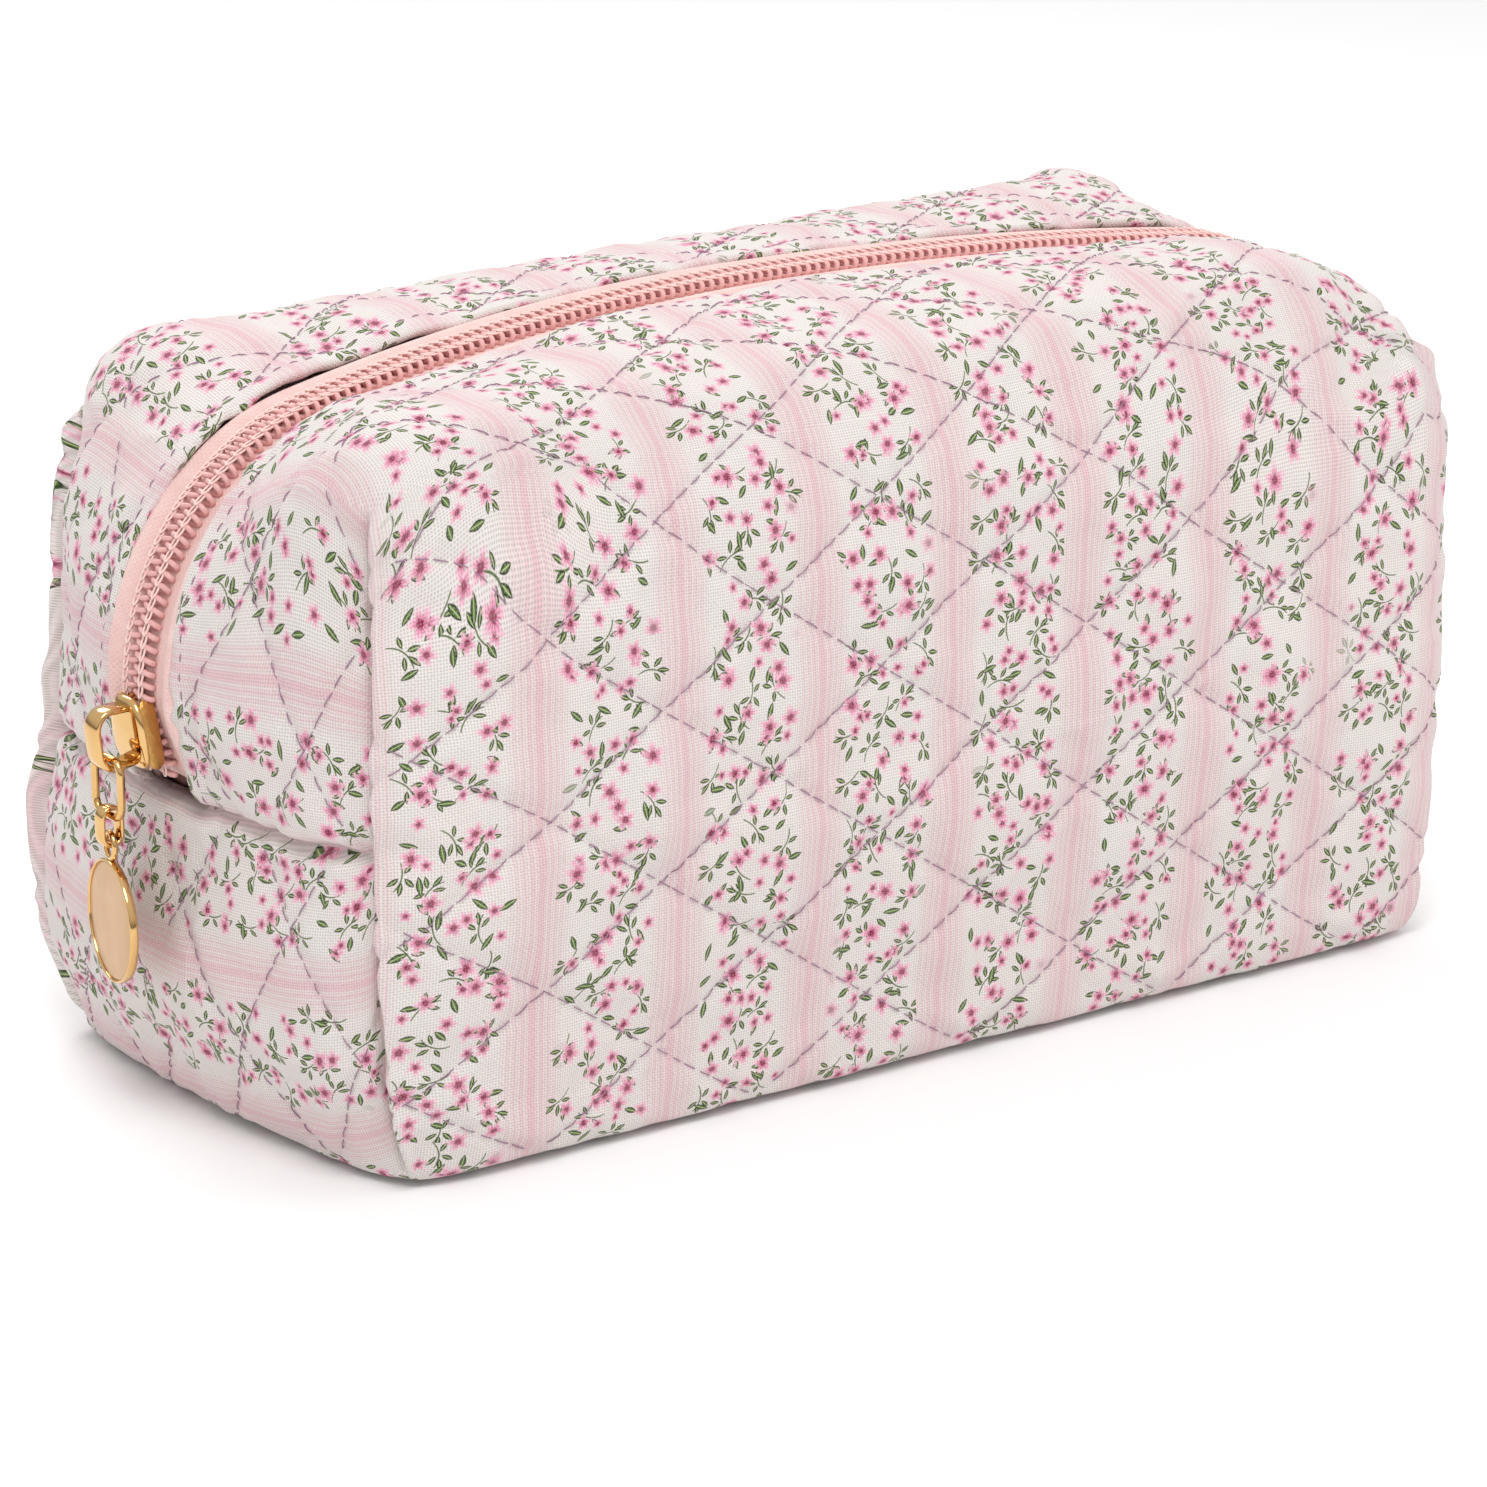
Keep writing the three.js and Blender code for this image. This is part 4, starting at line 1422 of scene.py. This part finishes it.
def lining_cuts():
    """Width, length and area of the lining's two parts as flat patterns between their seam lines.

    Each is a strip that wraps from the zip to the middle of the base, with wings that close the ends.
    """
    length = LEFT["seam"] + RIGHT["seam"] - 2 * LINING_INSET
    half_depth = HALF_DEPTH - LINING_INSET
    wrap = half_depth - SLIT + HEIGHT - 2 * LINING_INSET + half_depth
    upper = HEIGHT - LINING_INSET - SEAM_Z
    lower = SEAM_Z - LINING_INSET
    width = length + 2 * upper
    strip_and_wings = length * wrap + 2 * upper * (half_depth - SLIT)
    front = (width, wrap, strip_and_wings)
    back = (width, wrap + half_depth, strip_and_wings + 2 * lower * 2 * half_depth)
    return front, back


def make_lining(panels, quilting, material):
    """The plain inner bag, a few millimetres inside the cover, in two parts like the cover."""
    whole, _, _ = panel_mesh("lining", panels, quilting)
    inner = coordinates(whole) - normals_of(whole) * LINING_INSET
    set_coordinates(whole, inner)
    add_hem(whole, [(-0.9, 0.1), (-1.9, 0.8), (-2.0, 3.0)])
    fronts = {i for i, panel in enumerate(panels) if panel.front}
    front_cut, back_cut = lining_cuts()
    for name, wanted, body, nodes, (width, length, area) in (
        ("lining_front_cloth", fronts, "fold", ["lining_lip"], front_cut),
        ("lining_back_cloth", set(range(len(panels))) - fronts, "root", ["lining_body"], back_cut),
    ):
        piece = part_of(whole, name, wanted)
        finish_piece(piece, material, body, nodes)
    bpy.data.objects.remove(whole)


def make_bindings(material):
    """Woven tape folded over the seams on the inside of the bag."""

    def strip(name, path, body, nodes):
        path = np.asarray(path, float)
        piece = mesh_object(name, *sweep(path, 1.6, 10, (1, 1, 0.3)))
        layer = piece.data.uv_layers.new(name="cloth")
        uv = [(loop.vertex_index // 10 * 0.2, loop.vertex_index % 10 * 0.1) for loop in piece.data.loops]
        layer.data.foreach_set("uv", np.array(uv).ravel())
        finish_piece(piece, material, body, nodes)

    heights = np.arange(12, 98.1, 2)
    for side, word in ((-1, "left"), (1, "right")):
        for ends, face in ((-1, "front"), (1, "back")):
            corner = filled_out(np.array([[side * PANEL_X, ends * PANEL_Y, z] for z in heights]))
            inward = np.array([side * 8.5, ends * 8.5, 0])
            nodes = ([f"corner_binding_front_lower_{word}", f"corner_binding_front_upper_{word}"]
                     if face == "front" else [f"corner_binding_back_{word}"])
            strip(f"seam_binding_{face}_{word}", corner - inward, "fold" if face == "front" else "root", nodes)
        ys = np.arange(-34, 34.1, 2)
        level = filled_out(np.array([[side * PANEL_X, y, SEAM_Z] for y in ys]))
        strip(f"end_seam_binding_{word}", level - (side * 8.5, 0, 0), "root", [f"end_binding_{word}"])


def make_stitches(cover, panels, quilting, material):
    split = {"front": [], "back": []}
    for number, panel in enumerate(panels):
        if panel.name.startswith("base"):
            continue
        group = split["front" if panel.front else "back"]
        panel_map = PanelMap(cover, number)
        group += [d for d in quilting_stitches(panel_map, quilting) if d]
        if panel.is_high:
            edge = panel_map.low[1] if panel.front else panel_map.high[1]
            at_v = edge + TOPSTITCH if panel.front else edge - TOPSTITCH
            group += [d for d in edge_stitches(panel_map, at_v) if d]
    for half, dashes in split.items():
        body = "fold" if half == "front" else "root"
        finish_piece(mesh_object(f"quilting_thread_{half}", *joined(dashes)), material, body)


def make_zip(tape_cloth, filament, sewing):
    for side, half, body in ((-1, "front", "fold"), (1, "back", "root")):
        ends = [f"zip_{{}}_front_end_{word}" for word in ("left", "right")] if side < 0 else []
        shape, runs, cross = zip_tape(side)
        tape = mesh_object(f"zip_tape_cloth_{half}", *shape)
        give_strip_uv(tape, runs, cross)
        finish_piece(tape, tape_cloth, body,
                     [f"zip_tape_{half}"] + [name.format("tape") for name in ends])
        piece_from(f"zip_chain_{half}", coil_row(side), filament, body,
                   [f"zip_coil_{half}"] + [name.format("coil") for name in ends])
        piece_from(f"zip_sewing_{half}", chain_stitch_row(side), sewing, body)


def make_metal(polished, satin, cast):
    piece_from("slider_plates", make_slider_body(), polished, "zip_slider", ["slider_body"])
    piece_from("slider_flanges", make_flanges(), cast, "zip_slider")
    piece_from("slider_post", make_post(), polished, "zip_slider")
    piece_from("slider_bridge", make_bail(), polished, "zip_slider", ["slider_bail"])
    piece_from("hanging_ring", make_ring(), polished, "pull_ring", ["pull_ring"])
    piece_from("link_band", make_band(), polished, "band_loop", ["band_loop"])
    face, rim = tag_parts()
    piece_from("tag_face", face, satin, "tag_disc", ["tag_disc"])
    piece_from("tag_rim", rim, polished, "tag_disc")


def make_bag():
    wrap = wrap_panels()
    panels = wrap + end_panels(wrap)
    quilting = Quilting(wrap[1])
    cotton = printed_cotton()
    cover = make_cover(panels, quilting)
    make_stitches(cover, panels, quilting, thread("quilting_thread", "#B48FA5", "#8A667F"))
    add_hem(cover, [(0.5, -0.35), (1.3, -0.2), (1.9, 0.8), (2.0, 4.0)])
    fronts = {i for i, panel in enumerate(panels) if panel.front}
    front = part_of(cover, "cover_front", fronts)
    back = part_of(cover, "cover_back", set(range(len(panels))) - fronts)
    bpy.data.objects.remove(cover)
    finish_piece(front, cotton, "fold", ["outer_lip", "wadding_lip"])
    finish_piece(back, cotton, "root", ["outer_body", "wadding_body"])
    make_lining(panels, quilting, plain_cloth("lining_cotton", "#EFD3D3", "#E2B9BC", 0.045))
    make_bindings(plain_cloth("binding_tape", "#F0C4BE", "#D9958F", 0.06))
    make_zip(plain_cloth("woven_zip_tape", "#F5DBD6", "#E6B9B3", 0.05),
             nylon("zip_filament", "#EDC0BC", "#DFA19E"),
             thread("zip_sewing_thread", "#FBE6E0", "#EFC3BB"))
    make_metal(gold("polished_gold", "#EBC88E", "#D3A263", 0.1, 300.0, 0.00003),
               gold("satin_gold", "#D2AD85", "#BE966C", 0.3, 900.0, 0.00004),
               gold("cast_gold", "#D9AC68", "#B9843F", 0.36, 1500.0, 0.0004))


def write_size():
    """The low and high corners of the CAD box and of the visual model's box, in metres."""
    boxes = {"cad": CAD_BOX, "visual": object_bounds()}
    sizes = {name: [[float(c) for c in corner] for corner in box] for name, box in boxes.items()}


make_camera()
make_studio()
make_bag()
write_size()
